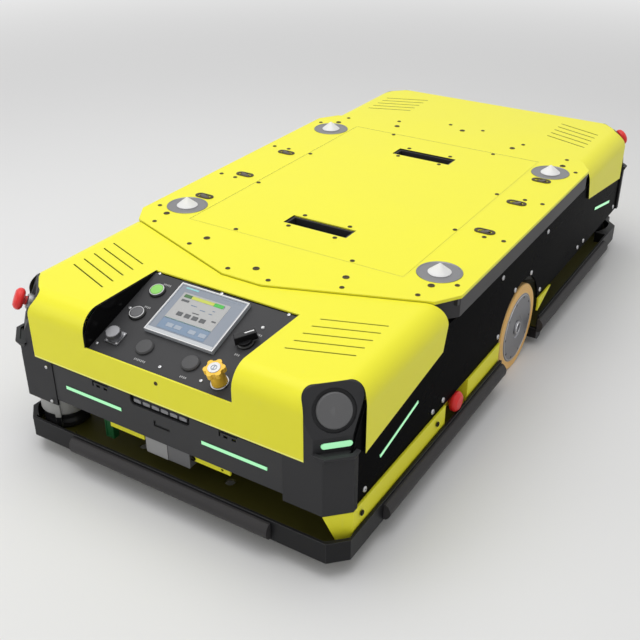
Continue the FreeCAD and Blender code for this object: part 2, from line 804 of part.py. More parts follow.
# ---- frame -----------------------------------------------------------------------------
def main_frame():
    """Welded frame: two tubes, cross members with castor bosses, legs and end beams."""
    half_tube = rail_tube_width / 2
    members = []
    for side in (-1, 1):
        y = side * rail_tube_y
        outer = block(-frame_end_x + 2, frame_end_x - 2, y - half_tube, y + half_tube,
                      rail_tube_bottom, rail_tube_top)
        members.append(outer)
    for end in (-1, 1):
        x = end * castor_x
        members.append(block(x - cross_width / 2, x + cross_width / 2, -cross_half_length,
                             cross_half_length, cross_bottom, cross_bottom + cross_height))
        for side in (-1, 1):
            members.append(rod(castor_plate_radius - 6, cross_bottom - frame_seat_z + 2,
                               V(x, side * castor_y, frame_seat_z)))
            leg_x = end * leg_place
            y = side * rail_tube_y
            members.append(block(leg_x - 20, leg_x + 20, y - half_tube, y + half_tube,
                                 tray_floor, rail_tube_bottom + 10))
        beam = block(frame_end_x - frame_end_sheet, frame_end_x, -module_seam + 8,
                     module_seam - 8, frame_seat_z, frame_end_top)
        for side in (-1, 1):
            y0, y1 = sorted((side * 52.0, side * 128.0))
            beam = beam.fuse(block(frame_end_x - 4, frame_end_x, y0, y1,
                                   frame_seat_z - frame_tab_drop, frame_seat_z + 2))
        members.append(beam if end > 0 else half_turn(beam))
    members += scanner_brackets()
    frame = joined(members)
    bores = [rod(castor_pin_radius + shaft_clearance, 12.0, V(sx * castor_x, sy * castor_y,
                                                             frame_seat_z - 2))
             for sx in (-1, 1) for sy in (-1, 1)]
    hole_y, hole_z, hole_r = frame_tab_hole
    hole = rod(hole_r, 20.0, V(frame_end_x - 15, hole_y, hole_z), V(1, 0, 0))
    return frame.cut(bores + [hole, half_turn(hole)])


def scanner_brackets():
    """Plates that carry the two scanners from the cross members and the end beams."""
    x = scanner_place[0]
    plate = block(castor_x + cross_width / 2 - 5, frame_end_x, -scanner_place[1] - 40,
                  -scanner_place[1] + 60, scanner_top, scanner_top + 6)
    lug = block(x - 30, frame_end_x, -scanner_place[1] + 40, -scanner_place[1] + 60,
                scanner_top, frame_end_top)
    plate = plate.fuse(lug)
    return [plate, half_turn(plate)]


# ---- scanners --------------------------------------------------------------------------
def scanner():
    """Safety laser scanner: head, dark optics belt and base, with a front rib."""
    x, y = scanner_place[0], -scanner_place[1]
    belt = scanner_radius - 4.0
    outline = [
        (0, tray_floor), (scanner_base_radius - 4, tray_floor),
        (scanner_base_radius, tray_floor + 5), (scanner_base_radius, tray_floor + 12),
        (belt, tray_floor + 19), (belt, scanner_bottom), (scanner_radius - 2, scanner_bottom),
        (scanner_radius, scanner_bottom + 2), (scanner_radius, scanner_top), (0, scanner_top),
    ]
    shape = turned_profile(outline)
    shape.translate(V(x, y, 0))
    rib = block(-2.0, 5.0, -5.0, 5.0, 0, scanner_top - tray_floor - 11)
    rib.rotate(ORIGIN, UP, scanner_rib_angle)
    angle = math.radians(scanner_rib_angle)
    rib.translate(V(x + (scanner_radius - 1) * math.cos(angle),
                    y + (scanner_radius - 1) * math.sin(angle), tray_floor + 8))
    return shape.fuse(rib).removeSplitter()


# ---- deck ------------------------------------------------------------------------------
def deck_outline():
    quarter = [(deck_nose[0], deck_nose[1]), deck_shoulder, (deck_straight, deck_half_width)]
    half = quarter + [(-x, y) for x, y in reversed(quarter)]
    return half + [(-x, -y) for x, y in half]


def each_cone():
    return [(sx * cone_x, sy * cone_y) for sx in (-1, 1) for sy in (-1, 1)]


def deck_plate():
    z0 = deck_top - deck_thickness
    plate = prism(deck_outline(), z0, deck_top)
    cuts = []
    for x, y in each_cone():
        cuts.append(rod(seat_radius + face_gap, 20.0, V(x, y, z0 - 5)))
    for sx in (-1, 1):
        cx = sx * slot_centre
        cuts.append(block(cx - slot_size[0] / 2, cx + slot_size[0] / 2, -slot_size[1] / 2,
                          slot_size[1] / 2, z0 - 5, deck_top + 5))
    for x in oblong_x:
        slot = capsule(oblong_size[1], oblong_size[0], 20.0)
        slot.translate(V(-x, oblong_row, z0 - 5))
        cuts += [slot, half_turn(slot)]
    hx, hy = load_line
    groove = block(-hx, hx, -hy, hy, deck_top - load_line_depth, deck_top + 1)
    w = load_line_width
    groove = groove.cut(block(w - hx, hx - w, w - hy, hy - w, deck_top - 2, deck_top + 2))
    return plate.cut(cuts + [groove] + module_holes(z0 - 5, deck_top + 5))


def module_holes(z0, z1):
    return [rod(module_hole_radius, z1 - z0, V(sx * module_hole_x, sy * row, z0))
            for sx in (-1, 1) for sy in (-1, 1) for row in module_hole_rows]


def deck_frame():
    """Ribs under the plate, the dark bands along the long edges and the slot liners."""
    z1 = deck_top - deck_thickness
    z0 = z1 - deck_rib_height
    ribs = []
    for sy in (-1, 1):
        ribs.append(block(-lift_x - deck_rib_overhang, lift_x + deck_rib_overhang,
                          sy * lift_y - 18, sy * lift_y + 18, z0, z1))
    for sx in (-1, 1):
        ribs.append(block(sx * 160.0 - 12, sx * 160.0 + 12, -lift_y, lift_y, z0, z1))
        ribs.append(block(sx * lift_x - 20, sx * lift_x + 20, -lift_y, lift_y, z0, z1))
    for sy in (-1, 1):
        y_out = deck_half_width - deck_band_inset
        band = [
            (-deck_straight - 38, y_out - 30), (-deck_straight + 1, y_out),
            (deck_straight - 1, y_out), (deck_straight + 38, y_out - 30),
            (deck_straight + 34, y_out - 33), (deck_straight - 2, y_out - deck_band_sheet),
            (2 - deck_straight, y_out - deck_band_sheet), (-deck_straight - 34, y_out - 33),
        ]
        band = prism([(x, sy * y) for x, y in band], deck_band_bottom, z1)
        ribs.append(band)
        for x in (-lift_x, 0.0, lift_x):
            y0, y1 = sorted((sy * (lift_y + 10), sy * (y_out - 1)))
            ribs.append(block(x - 15, x + 15, y0, y1, z1 - 12, z1))
    frame = joined(ribs)
    liners = []
    cuts = []
    for sx in (-1, 1):
        cx = sx * slot_centre
        hx, hy = slot_size[0] / 2 - face_gap, slot_size[1] / 2 - face_gap
        liner = block(cx - hx, cx + hx, -hy, hy, deck_band_bottom + 4, deck_top - 2.5)
        flange = block(cx - hx - 8, cx + hx + 8, -hy - 8, hy + 8, z1 - 4, z1)
        liners.append(liner.fuse(flange))
        w = slot_liner_wall
        cuts.append(block(cx - hx + w, cx + hx - w, w - hy, hy - w, 200.0, 400.0))
    tie = [block(sx * 160.0, sx * lift_x, y - 8, y + 8, z0, z1) for sx in (-1, 1)
           for y in (-slot_size[1] / 2 - 14, slot_size[1] / 2 + 14)]
    for x, y in each_cone():
        cuts.append(rod(seat_flange + face_gap, seat_plate, V(x, y, z1 - seat_plate)))
    return joined([frame] + liners + tie).cut(cuts + module_holes(z0 - 5, z1 + 5))


def cone_and_seat():
    """A round seat in the plate and the locating cone on it, made about the Z axis."""
    z_plate = deck_top - deck_thickness
    rim = deck_top + seat_rise
    top = rim - 0.8
    seat = turned_profile([
        (0, z_plate - seat_plate), (seat_flange, z_plate - seat_plate), (seat_flange, z_plate),
        (seat_radius, z_plate), (seat_radius, rim - 0.5), (seat_radius - 0.5, rim),
        (seat_radius - seat_rim, rim), (seat_radius - seat_rim - 0.8, top), (0, top),
    ])
    cone = turned_profile([
        (0, top), (cone_radius, top), (cone_radius, top + 1.0),
        (1.5, deck_top + cone_height - 0.6), (0, deck_top + cone_height),
    ])
    return [seat, cone]


def lift_rod():
    top = deck_top - deck_thickness - deck_rib_height
    low = lift_tube_top - deck_lift - lift_rod_guided
    shape = rod(lift_rod_radius, top - low, V(0, 0, low))
    pad = rod(lift_tube_radius - 5, 6.0, V(0, 0, top - 6.0))
    return shape.fuse(pad).removeSplitter()


def lift_cylinder():
    """Electric lift cylinder: base flange, tube and guide collar, about the Z axis."""
    bore = lift_rod_radius + shaft_clearance
    outline = [
        (bore, tray_floor + 12), (bore, lift_tube_top), (lift_tube_radius - 3, lift_tube_top),
        (lift_tube_radius, lift_tube_top - 3), (lift_tube_radius, tray_floor + 10),
        (lift_tube_radius + 10, tray_floor + 10), (lift_tube_radius + 10, tray_floor),
        (0, tray_floor), (0, tray_floor + 12),
    ]
    return turned_profile(outline)


def at_lift_points(shape):
    return [placed(shape, V(sx * lift_x, sy * lift_y, 0)) for sx in (-1, 1) for sy in (-1, 1)]


# ---- drive -----------------------------------------------------------------------------
def drive_tyre():
    """Left drive tyre about its axle, with rounded shoulders."""
    y0, y1 = wheel_face - wheel_width, wheel_face
    shoulder = 3.0
    outline = [
        (hub_radius, y0), (wheel_radius - shoulder, y0), (wheel_radius, y0 + shoulder),
        (wheel_radius, y1 - shoulder), (wheel_radius - shoulder, y1), (hub_radius, y1),
    ]
    return on_wheel_axis(turned_profile(outline))


def on_wheel_axis(shape):
    """Turns a shape made about +Z so that its axis is the wheel's axle, facing +Y."""
    out = shape.copy()
    out.rotate(ORIGIN, V(1, 0, 0), -90)
    out.translate(V(0, 0, wheel_radius))
    return out


def drive_hub():
    """Left hub with a dished face, a ring of bolts, a centre boss and its axle."""
    y1 = wheel_face + 1.0
    y0 = wheel_face - wheel_width + 2
    outline = [
        (0, gearbox_face - gearbox_depth + 22), (axle_radius, gearbox_face - gearbox_depth + 22),
        (axle_radius, y0 + 6), (30, y0 + 6), (36, y1 - 18), (hub_radius - 9, y1 - 18),
        (hub_radius - 6, y0), (hub_radius, y0), (hub_radius, y1 - 1), (hub_radius - 1.5, y1),
        (24.0, y1), (21.0, y1 - 2.5), (0, y1 - 2.5),
    ]
    hub = turned_profile(outline)
    bolt_circle = hub_radius - 9
    for i in range(10):
        angle = math.radians(36 * i)
        hub = hub.cut(rod(3.0, 3.0, V(bolt_circle * math.cos(angle), bolt_circle * math.sin(angle),
                                      y1 - 2)))
    return on_wheel_axis(hub)


def drive_unit():
    """Left gearbox with its bearing bore, flanged motor and hanging bracket."""
    y1 = gearbox_face
    y0 = y1 - gearbox_depth
    w = gearbox_half_width
    case = block(-w, w, y0, y1, wheel_radius - 45, gearbox_top)
    motor = rod(motor_radius, motor_length, V(0, y0 - motor_length, wheel_radius), V(0, 1, 0))
    for i in range(3):
        fin_y = y0 - motor_length + 18 + i * 32.0
        motor = motor.fuse(rod(motor_radius + 2.5, 12.0, V(0, fin_y, wheel_radius), V(0, 1, 0)))
    inner = rail_tube_y - rail_tube_width / 2
    bracket = block(-70.0, 70.0, inner, y1, gearbox_top, rail_tube_bottom)
    bore = rod(axle_radius + shaft_clearance, 45.0, V(0, y1 - 43, wheel_radius), V(0, 1, 0))
    return joined([case, motor, bracket]).cut(bore)


# ---- castors ---------------------------------------------------------------------------
def castor_fork():
    """Swivel fork about the Z axis; the wheel trails behind it."""
    z1 = castor_plate_top
    z0 = z1 - castor_plate_thickness
    plate = rod(castor_plate_radius, castor_plate_thickness, V(0, 0, z0))
    pin = rod(castor_pin_radius, 8.0, V(0, 0, z1 - 1))
    gap = castor_wheel_width / 2 + 2.0
    axle_z = castor_wheel_radius
    shapes = [plate, pin]
    for side in (-1, 1):
        y0, y1 = sorted((side * gap, side * (gap + fork_cheek)))
        cheek = side_prism([(-castor_trail - 14, axle_z), (-castor_trail, axle_z - 13),
                            (-castor_trail + 14, axle_z), (30.0, z0 + 1), (-32.0, z0 + 1)], y0, y1)
        shapes.append(cheek)
    axle = rod(castor_axle_radius, 2 * gap + 2 * fork_cheek + 6,
               V(-castor_trail, -gap - fork_cheek - 3, axle_z), V(0, 1, 0))
    shapes.append(axle)
    return joined(shapes)


def castor_wheel():
    half = castor_wheel_width / 2
    bore = castor_axle_radius + shaft_clearance
    r = castor_wheel_radius
    outline = [
        (bore, -half - 1), (12.0, -half - 1), (12.0, -half + 5), (32.0, -half + 5),
        (34.0, -half + 1), (r - 6, -half + 1), (r - 1.5, -half + 6), (r, 0),
        (r - 1.5, half - 6), (r - 6, half - 1), (34.0, half - 1), (32.0, half - 5),
        (12.0, half - 5), (12.0, half + 1), (bore, half + 1),
    ]
    wheel = turned_profile(outline)
    wheel.rotate(ORIGIN, V(1, 0, 0), -90)
    wheel.translate(V(-castor_trail, 0, castor_wheel_radius))
    return wheel


# ---- control panel ---------------------------------------------------------------------
def panel_slope_point(along, height=0.0):
    """World x, z of a point on the plate, height millimetres above it."""
    a = math.radians(panel_angle)
    x = panel_origin[0] + along * math.cos(a) + height * math.sin(a)
    z = panel_origin[1] - along * math.sin(a) + height * math.cos(a)
    return x, z


def on_panel(shape):
    """Moves a shape from plate coordinates (along, across, up) to its place."""
    turn = FreeCAD.Rotation(V(0, 1, 0), panel_angle)
    return placed(shape, V(panel_origin[0], 0, panel_origin[1]), turn)


def plate_length():
    run = body_half_length - cover_sheet - 1 - panel_origin[0]
    return run / math.cos(math.radians(panel_angle))


def control_plate():
    hw = recess_half_width - face_gap
    plate = block(4.0, plate_length() - 3, -hw, hw, -plate_thickness, 0)
    return on_panel(plate)


def panel_recess():
    """Black box that forms the walls beside the plate and the ledge under it."""
    hw = recess_half_width
    t = recess_sheet
    a = math.radians(panel_angle)
    under = plate_thickness + 0.01
    length = plate_length() - 3
    ledge = on_panel(block(3.0, length, -hw - t, hw + t, -under - t, -under))
    back_x, back_z = panel_slope_point(4.0, -under)
    front_x, front_z = panel_slope_point(length - 2, -under)
    top = cover_top - cover_sheet - face_gap
    bend_x = body_half_length - cover_bend
    inner_nose = body_half_length - cover_sheet - 1.0
    outline = [(back_x, back_z - t), (back_x, top), (bend_x, top), (inner_nose - 12, top - 14),
               (inner_nose, cover_top - cover_bend), (inner_nose, recess_lip_z - 15),
               (front_x, front_z - t)]
    walls = [side_prism(outline, hw, hw + t), side_prism(outline, -hw - t, -hw)]
    return joined([ledge] + walls)


def hmi_housing():
    x0, x1 = hmi_along
    y0, y1 = hmi_across
    b = hmi_border
    shape = block(x0, x1, y0, y1, 0, hmi_height)
    shape = shape.cut(block(x0 + b, x1 - b, y0 + b, y1 - b, hmi_height - 1.5, hmi_height + 5))
    return on_panel(shape)


def hmi_screen():
    x0, x1 = hmi_along
    y0, y1 = hmi_across
    b = hmi_border + face_gap
    return on_panel(block(x0 + b, x1 - b, y0 + b, y1 - b, hmi_height - 1.5, hmi_height - 0.4))


def push_bezel(place):
    ring = turned_profile([
        (button_radius + face_gap, 0), (bezel_radius, 0), (bezel_radius, bezel_height - 2),
        (bezel_radius - 2, bezel_height), (button_radius + face_gap, bezel_height),
    ])
    return on_panel(placed(ring, V(place[0], place[1], 0)))


def push_button(place):
    base = button_travel + 0.5
    top = bezel_height + 1.5
    outline = [(0, base), (button_radius, base), (button_radius, top - 1), (button_radius - 1, top),
               (0, top)]
    return on_panel(placed(turned_profile(outline), V(place[0], place[1], 0)))


def selector_base():
    ring = turned_profile([(0, 0), (bezel_radius, 0), (bezel_radius, 3), (bezel_radius - 2, 5),
                           (0, 5)])
    return on_panel(placed(ring, V(selector_place[0], selector_place[1], 0)))


def selector_handle():
    """Long-handled selector knob; at rest it points up and away from the touch panel."""
    z0 = 5.0 + face_gap
    disc = rod(12.5, 5.0, V(0, 0, z0))
    grip = side_prism([(-17.0, z0 + 2), (22.0, z0 + 2), (20.0, z0 + 17), (-15.0, z0 + 17)], -6, 6)
    edges = [e for e in grip.Edges if abs(e.CenterOfMass.z - z0 - 17) < 0.1]
    grip = grip.makeFillet(1.5, edges)
    knob = disc.fuse(grip).removeSplitter()
    knob.rotate(ORIGIN, UP, 135)
    return on_panel(placed(knob, V(selector_place[0], selector_place[1], 0)))


def key_base():
    ring = turned_profile([(0, 0), (15.5, 0), (15.5, 2.5), (14.5, 3.5), (0, 3.5)])
    return on_panel(placed(ring, V(key_place[0], key_place[1], 0)))


def access_key():
    """Lobed access key standing on its reader: waisted stem and a six-lobed head."""
    z0 = 3.5 + face_gap
    stem = turned_profile([(0, z0), (13.5, z0), (12.5, z0 + 6), (11.8, z0 + 18), (13.0, z0 + 26),
                           (0, z0 + 26)])
    head = rod(14.0, 9.0, V(0, 0, z0 + 24))
    for i in range(6):
        angle = math.radians(60 * i)
        lobe = rod(5.0, 9.0, V(13.0 * math.cos(angle), 13.0 * math.sin(angle), z0 + 24))
        head = head.fuse(lobe)
    label = rod(9.0, 1.0, V(0, 0, z0 + 32.5))
    return on_panel(placed(joined([stem, head, label]), V(key_place[0], key_place[1], 0)))


def charge_socket():
    """Square flange with a capped round socket."""
    half = 14.0
    flange = block(-half, half, -half, half, 0, 3.0)
    holes = [rod(1.8, 5.0, V(sx * 10.5, sy * 10.5, -1)) for sx in (-1, 1) for sy in (-1, 1)]
    flange = flange.cut(holes)
    cap = turned_profile([(0, 3.0), (10.5, 3.0), (10.5, 8.0), (12.5, 8.5), (12.5, 17.0),
                          (11.5, 18.0), (0, 18.0)])
    return on_panel(placed(flange.fuse(cap), V(socket_place[0], socket_place[1], 0)))


def screw_cap(place):
    outline = [(0, 0), (15.5, 0), (15.5, 3.0), (13.5, 5.5), (0, 6.2)]
    return on_panel(placed(turned_profile(outline), V(place[0], place[1], 0)))


# ---- emergency stops -------------------------------------------------------------------
def estop_collar(base):
    """Fixed collar about Z, from base up to the collar's height."""
    return turned_profile([
        (estop_stem_radius + shaft_clearance, base), (estop_collar_radius, base),
        (estop_collar_radius, estop_collar_height - 2),
        (estop_collar_radius - 2, estop_collar_height),
        (estop_stem_radius + shaft_clearance, estop_collar_height),
    ])


def estop_button():
    """Mushroom head and stem about Z."""
    z0 = estop_head_base
    z1 = z0 + estop_head_height
    r = estop_head_radius
    return turned_profile([
        (0, 0), (estop_stem_radius, 0), (estop_stem_radius, z0), (r - 5, z0), (r - 1, z0 + 3),
        (r, z0 + 6), (r, z0 + 9), (r - 2, z1 - 4), (r - 6, z1 - 1), (0, z1),
    ])


def at_corner_dish(shape):
    """Front right corner: mirrored from the +X +Y corner."""
    return mirrored(placed(shape, dish_centre(), sloping_rotation()))


def at_side_pocket(shape):
    """Left side pocket, facing +Y."""
    out = shape.copy()
    out.rotate(ORIGIN, V(1, 0, 0), -90)
    out.translate(V(side_estop_x, side_estop_plate_y + side_estop_stand, side_estop_z))
    return out


# ---- inner units -----------------------------------------------------------------------
def battery_pack():
    lx, ly, lz = battery_size
    case = block(bay_start, bay_start + lx, -ly / 2, ly / 2, tray_floor, tray_floor + lz)
    lid = block(bay_start - 3, bay_start + lx + 3, -ly / 2 - 3, ly / 2 + 3,
                tray_floor + lz - 30, tray_floor + lz - 22)
    return case.fuse(lid).removeSplitter()


def controller_box():
    lx, ly, lz = controller_size
    box = block(-controller_end, -controller_start, -ly / 2, ly / 2, tray_floor, tray_floor + lz)
    pitch = (lx - 60) / 5
    for i in range(6):
        x = 30 + i * pitch - controller_end
        box = box.fuse(block(x, x + 5, -ly / 2 + 10, ly / 2 - 10, tray_floor + lz,
                             tray_floor + lz + 12))
    return box.removeSplitter()


def guide_sensor():
    """Two-part sensor block that looks at the floor from under the nose."""
    x1 = frame_end_x + 2.0
    half = guide_half_width
    head = block(x1 - 30, x1, -half, half, guide_bottom, frame_seat_z - 0.3)
    head = head.fuse(block(x1 - 1.0, x1 + 1.0, -half, 0, guide_bottom, frame_seat_z - 0.3))
    head = head.removeSplitter()
    ends = [e for e in head.Edges if abs(abs(e.CenterOfMass.y) - half) < 0.1
            and abs(e.CenterOfMass.z - guide_bottom) < 0.1]
    return head.makeFillet(guide_corner, ends)


# ---- write every piece -----------------------------------------------------------------
def write_body():
    plain = end_cover()
    save("front_cover", front_cover())
    save("rear_cover", half_turn(plain))
    capped = corner_module(False)
    with_stop = corner_module(True)
    save("front_left_corner", capped)
    save("front_right_corner", mirrored(with_stop))
    save("rear_right_corner", half_turn(capped))
    save("rear_left_corner", half_turn(mirrored(with_stop)))
    cap = corner_cap()
    save("corner_caps", cap, half_turn(cap))
    save("front_lower_panel", lower_panel(True))
    save("rear_lower_panel", half_turn(lower_panel(False)))
    save("front_sensor_bar", sensor_bar())
    panel = side_panel()
    save("left_side_panel", panel)
    save("right_side_panel", half_turn(panel))
    lenses = [lens_shape(y, 0) for y in (-strip_y, strip_y)]
    side = side_lens_shape(0)
    lenses += [side, mirrored(side)]
    lamp = lamp_shape(0)
    lenses += [lamp, mirrored(lamp)]
    save("lamp_lenses", *(lenses + [half_turn(s) for s in lenses]))


def write_base():
    rail = bumper_rail()
    save("base_tray", base_tray())
    save("front_bumper_rail", rail)
    save("rear_bumper_rail", half_turn(rail))
    front = edge_profile_along_y(rail_half_length, -rail_half_width + 153, rail_half_width - 129)
    save("front_safety_edge", front)
    save("rear_safety_edge", half_turn(front))
    sides = [side_edge(rail_wheel_gap + 3, rail_half_length - 132),
             side_edge(168 - rail_half_length, 9 - rail_wheel_gap)]
    save("side_safety_edges", *(sides + [half_turn(s) for s in sides]))
    save("main_frame", main_frame())
    save("battery_pack", battery_pack())
    save("controller_box", controller_box())
    save("guide_sensor", guide_sensor())
    head = scanner()
    save("front_scanner", head)
    save("rear_scanner", half_turn(head))
    save("lift_cylinders", *at_lift_points(lift_cylinder()))


def write_deck():
    save("deck_plate", deck_plate())
    save("deck_frame", deck_frame())
    pieces = cone_and_seat()
    for node, shape in zip(("cone_seats", "locating_cones"), pieces):
        save(node, *[placed(shape, V(x, y, 0)) for x, y in each_cone()])
    save("lift_rods", *at_lift_points(lift_rod()))


def write_running_gear():
    for node, shape in (("tyre", drive_tyre()), ("hub", drive_hub()), ("drive_unit", drive_unit())):
        save("left_" + node, shape)
        save("right_" + node, mirrored(shape))
    fork = castor_fork()
    wheel = castor_wheel()
    for end, sx in (("front", 1), ("rear", -1)):
        for side, sy in (("left", 1), ("right", -1)):
            place = V(sx * castor_x, sy * castor_y, 0)
            save(end + "_" + side + "_castor_fork", placed(fork, place))
            save(end + "_" + side + "_castor_wheel", placed(wheel, place))


def write_controls():
    save("panel_recess", panel_recess())
    save("control_plate", control_plate())
    save("touch_panel_housing", hmi_housing())
    save("touch_panel_screen", hmi_screen())
    save("start_button", push_button(start_place))
    save("stop_button", push_button(stop_place))
    save("selector_switch", selector_handle())
    save("access_key", access_key())
    save("charge_socket", charge_socket())
    save("screw_caps", *[screw_cap(p) for p in cap_places])
    corner_collar = at_corner_dish(estop_collar(-bowl_depth))
    side_collar = at_side_pocket(estop_collar(-10.0))
    save("switch_bodies", push_bezel(start_place), push_bezel(stop_place), selector_base(),
         key_base(), corner_collar, half_turn(corner_collar), side_collar,
         half_turn(side_collar))
    corner = at_corner_dish(estop_button())
    side = at_side_pocket(estop_button())
    save("front_estop_button", corner)
    save("rear_estop_button", half_turn(corner))
    save("left_estop_button", side)
    save("right_estop_button", half_turn(side))


os.makedirs("parts", exist_ok=True)
write_body()
write_base()
write_deck()
write_running_gear()
write_controls()
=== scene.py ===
import math

import bmesh
import bpy
from mathutils import Matrix, Vector


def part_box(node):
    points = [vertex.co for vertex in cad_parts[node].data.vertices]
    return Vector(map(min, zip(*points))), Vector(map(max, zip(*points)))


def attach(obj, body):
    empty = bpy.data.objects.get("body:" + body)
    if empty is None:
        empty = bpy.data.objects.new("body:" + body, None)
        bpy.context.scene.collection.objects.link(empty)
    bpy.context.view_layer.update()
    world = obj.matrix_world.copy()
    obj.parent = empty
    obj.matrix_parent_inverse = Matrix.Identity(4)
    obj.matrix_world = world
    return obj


# Looks of the drive-under transport robot. Metres, +X is the control panel end, +Y its left
# side, +Z up, the floor at z = 0. The CAD nodes keep their shape and get their finish here.
# Screws, screen fields, rings and other small things are modelled further down.

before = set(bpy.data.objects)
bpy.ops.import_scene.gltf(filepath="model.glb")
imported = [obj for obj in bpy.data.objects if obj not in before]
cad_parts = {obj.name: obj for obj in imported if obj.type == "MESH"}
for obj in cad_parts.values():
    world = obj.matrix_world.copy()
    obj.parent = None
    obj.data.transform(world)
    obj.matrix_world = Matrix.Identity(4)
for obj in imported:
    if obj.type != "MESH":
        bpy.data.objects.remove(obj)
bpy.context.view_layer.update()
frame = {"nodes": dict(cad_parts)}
nodes = frame["nodes"]
scene = bpy.context.scene
print("frame loaded:", len(nodes), "nodes")


class Signal:  # one socket, used in sums like a number; each sum adds a Math node
    def __init__(self, nodes, socket):
        self.nodes = nodes
        self.socket = socket

    def calc(self, operation, *values):
        settings = {"operation": operation}
        return self.nodes.node("ShaderNodeMath", settings, dict(enumerate(values)))

    def __add__(self, other):
        return self.calc("ADD", self, other)

    def __radd__(self, other):
        return self.calc("ADD", other, self)

    def __sub__(self, other):
        return self.calc("SUBTRACT", self, other)

    def __rsub__(self, other):
        return self.calc("SUBTRACT", other, self)

    def __mul__(self, other):
        return self.calc("MULTIPLY", self, other)

    def __rmul__(self, other):
        return self.calc("MULTIPLY", other, self)

    def __pow__(self, other):
        return self.calc("POWER", self, other)

    def __gt__(self, other):
        return self.calc("GREATER_THAN", self, other)

    def __lt__(self, other):
        return self.calc("LESS_THAN", self, other)

    def __abs__(self):
        return self.calc("ABSOLUTE", self)

    def smooth(self, low, high):  # 0 at low, 1 at high, soft between
        settings = {"interpolation_type": "SMOOTHSTEP"}
        sockets = {"Value": self, "From Min": low, "From Max": high}
        return self.nodes.node("ShaderNodeMapRange", settings, sockets)


class Nodes:  # the nodes of one material, or of the sky
    def __init__(self, owner):
        owner.use_nodes = True
        self.tree = owner.node_tree
        self.tree.nodes.clear()

    def node(self, kind, settings=None, sockets=None, output=0):
        made = self.tree.nodes.new(kind)
        for key, value in (settings or {}).items():
            setattr(made, key, value)
        for key, value in (sockets or {}).items():
            if isinstance(value, Signal):
                self.tree.links.new(value.socket, made.inputs[key])
            else:
                made.inputs[key].default_value = value
        return Signal(self, made.outputs[output]) if made.outputs else None

    def seen(self):  # 1 for the rays that show the background as it is
        rays = self.node("ShaderNodeLightPath").socket.node.outputs
        kinds = ("Is Camera Ray", "Is Glossy Ray", "Is Transmission Ray")
        camera, glossy, through = (Signal(self, rays[kind]) for kind in kinds)
        return camera.calc("MAXIMUM", camera.calc("MAXIMUM", camera, glossy), through)


class Finish(Nodes):  # one material of the robot or the floor
    def __init__(self, name):
        self.material = bpy.data.materials.new(name)
        super().__init__(self.material)
        self.place = self.node("ShaderNodeTexCoord", output="Object")
        self.x, self.y, self.z = self.split(self.place)
        self.nx, self.ny, self.nz = self.split(self.node("ShaderNodeTexCoord", output="Normal"))

    def noise(self, scale, detail=4.0, roughness=0.55, stretch=None):
        place = self.place
        if stretch:
            place = self.node("ShaderNodeMapping", None, {"Vector": place, "Scale": stretch})
        sockets = {"Vector": place, "Scale": scale, "Detail": detail, "Roughness": roughness}
        return self.node("ShaderNodeTexNoise", None, sockets, "Fac")

    def split(self, vector):  # x, y and z of a vector, as three numbers
        made = self.node("ShaderNodeSeparateXYZ", None, {0: vector}).socket.node
        return [Signal(self, out) for out in made.outputs]

    def inward(self):  # 1 on walls that look into the robot, 0 on the outside
        x, y, z = masks["inward"]
        return ((self.x * self.nx < x) + (self.y * self.ny < y) + (self.nz < z)).smooth(0.0, 0.5)

    def crevice(self, reach):  # 1 deep in slots and joints, 0 in the open
        settings = {"samples": masks["creviceSamples"]}
        clear = self.node("ShaderNodeAmbientOcclusion", settings, {"Distance": reach}, "AO")
        return (1.0 - clear).smooth(*masks["crevice"])

    def blend(self, mask, first, second):  # first where the mask is 0, second where it is 1
        sockets = {0: mask, 6: first, 7: second}
        return self.node("ShaderNodeMix", {"data_type": "RGBA"}, sockets, 2)

    def clouded(self, pattern, colour, tones):  # a colour that goes from one tone to the other
        return self.blend(pattern, shade(colour, tones[0]), shade(colour, tones[1]))

    # painted shade: the colour turns dark deep in joints and slots, where shade falls
    def shadeJoints(self, body, colour, reach):
        share = self.crevice(reach) * masks["jointShadeShare"]
        return self.blend(share, body, shade(colour, masks["jointShadeTone"]))

    def roundedNormal(self, radius):
        return self.node("ShaderNodeBevel", {"samples": masks["edgeSamples"]}, {"Radius": radius})

    def edges(self, rounded):  # 1 along outer and inner edges, 0 on flat faces
        flat = self.node("ShaderNodeNewGeometry", output="Normal")
        settings = {"operation": "DOT_PRODUCT"}
        same = self.node("ShaderNodeVectorMath", settings, {0: flat, 1: rounded}, "Value")
        return (1.0 - same).smooth(*masks["edge"])

    def bump(self, height, distance, strength, normal):
        sockets = {"Height": height, "Distance": distance, "Strength": strength, "Normal": normal}
        return self.node("ShaderNodeBump", None, sockets)

    def close(self, **sockets):
        values = {key.replace("_", " "): value for key, value in sockets.items()}
        shader = self.node("ShaderNodeBsdfPrincipled", None, values)
        self.node("ShaderNodeOutputMaterial", None, {"Surface": shader})
        return self.material


def rgba(red, green, blue):
    return (red, green, blue, 1.0)


def shade(colour, factor):
    return tuple(min(1.0, c * factor) for c in colour[:3]) + (1.0,)


def clearSelection():
    bpy.ops.object.select_all(action="DESELECT")


masks = {
    "inward": (-0.2, -0.05, -0.5),  # how far a face looks inwards, by x, by y and down
    "creviceSamples": 6,
    "crevice": (0.32, 0.8),  # how closed in a spot is where the dark starts and is full
    # strength and darkness of the painted shade in joints and slots
    "jointShadeShare": 0.9, "jointShadeTone": 0.05, "edgeSamples": 4,
    "edge": (0.02, 0.16),  # how far the normal turns where an edge starts and is full
}

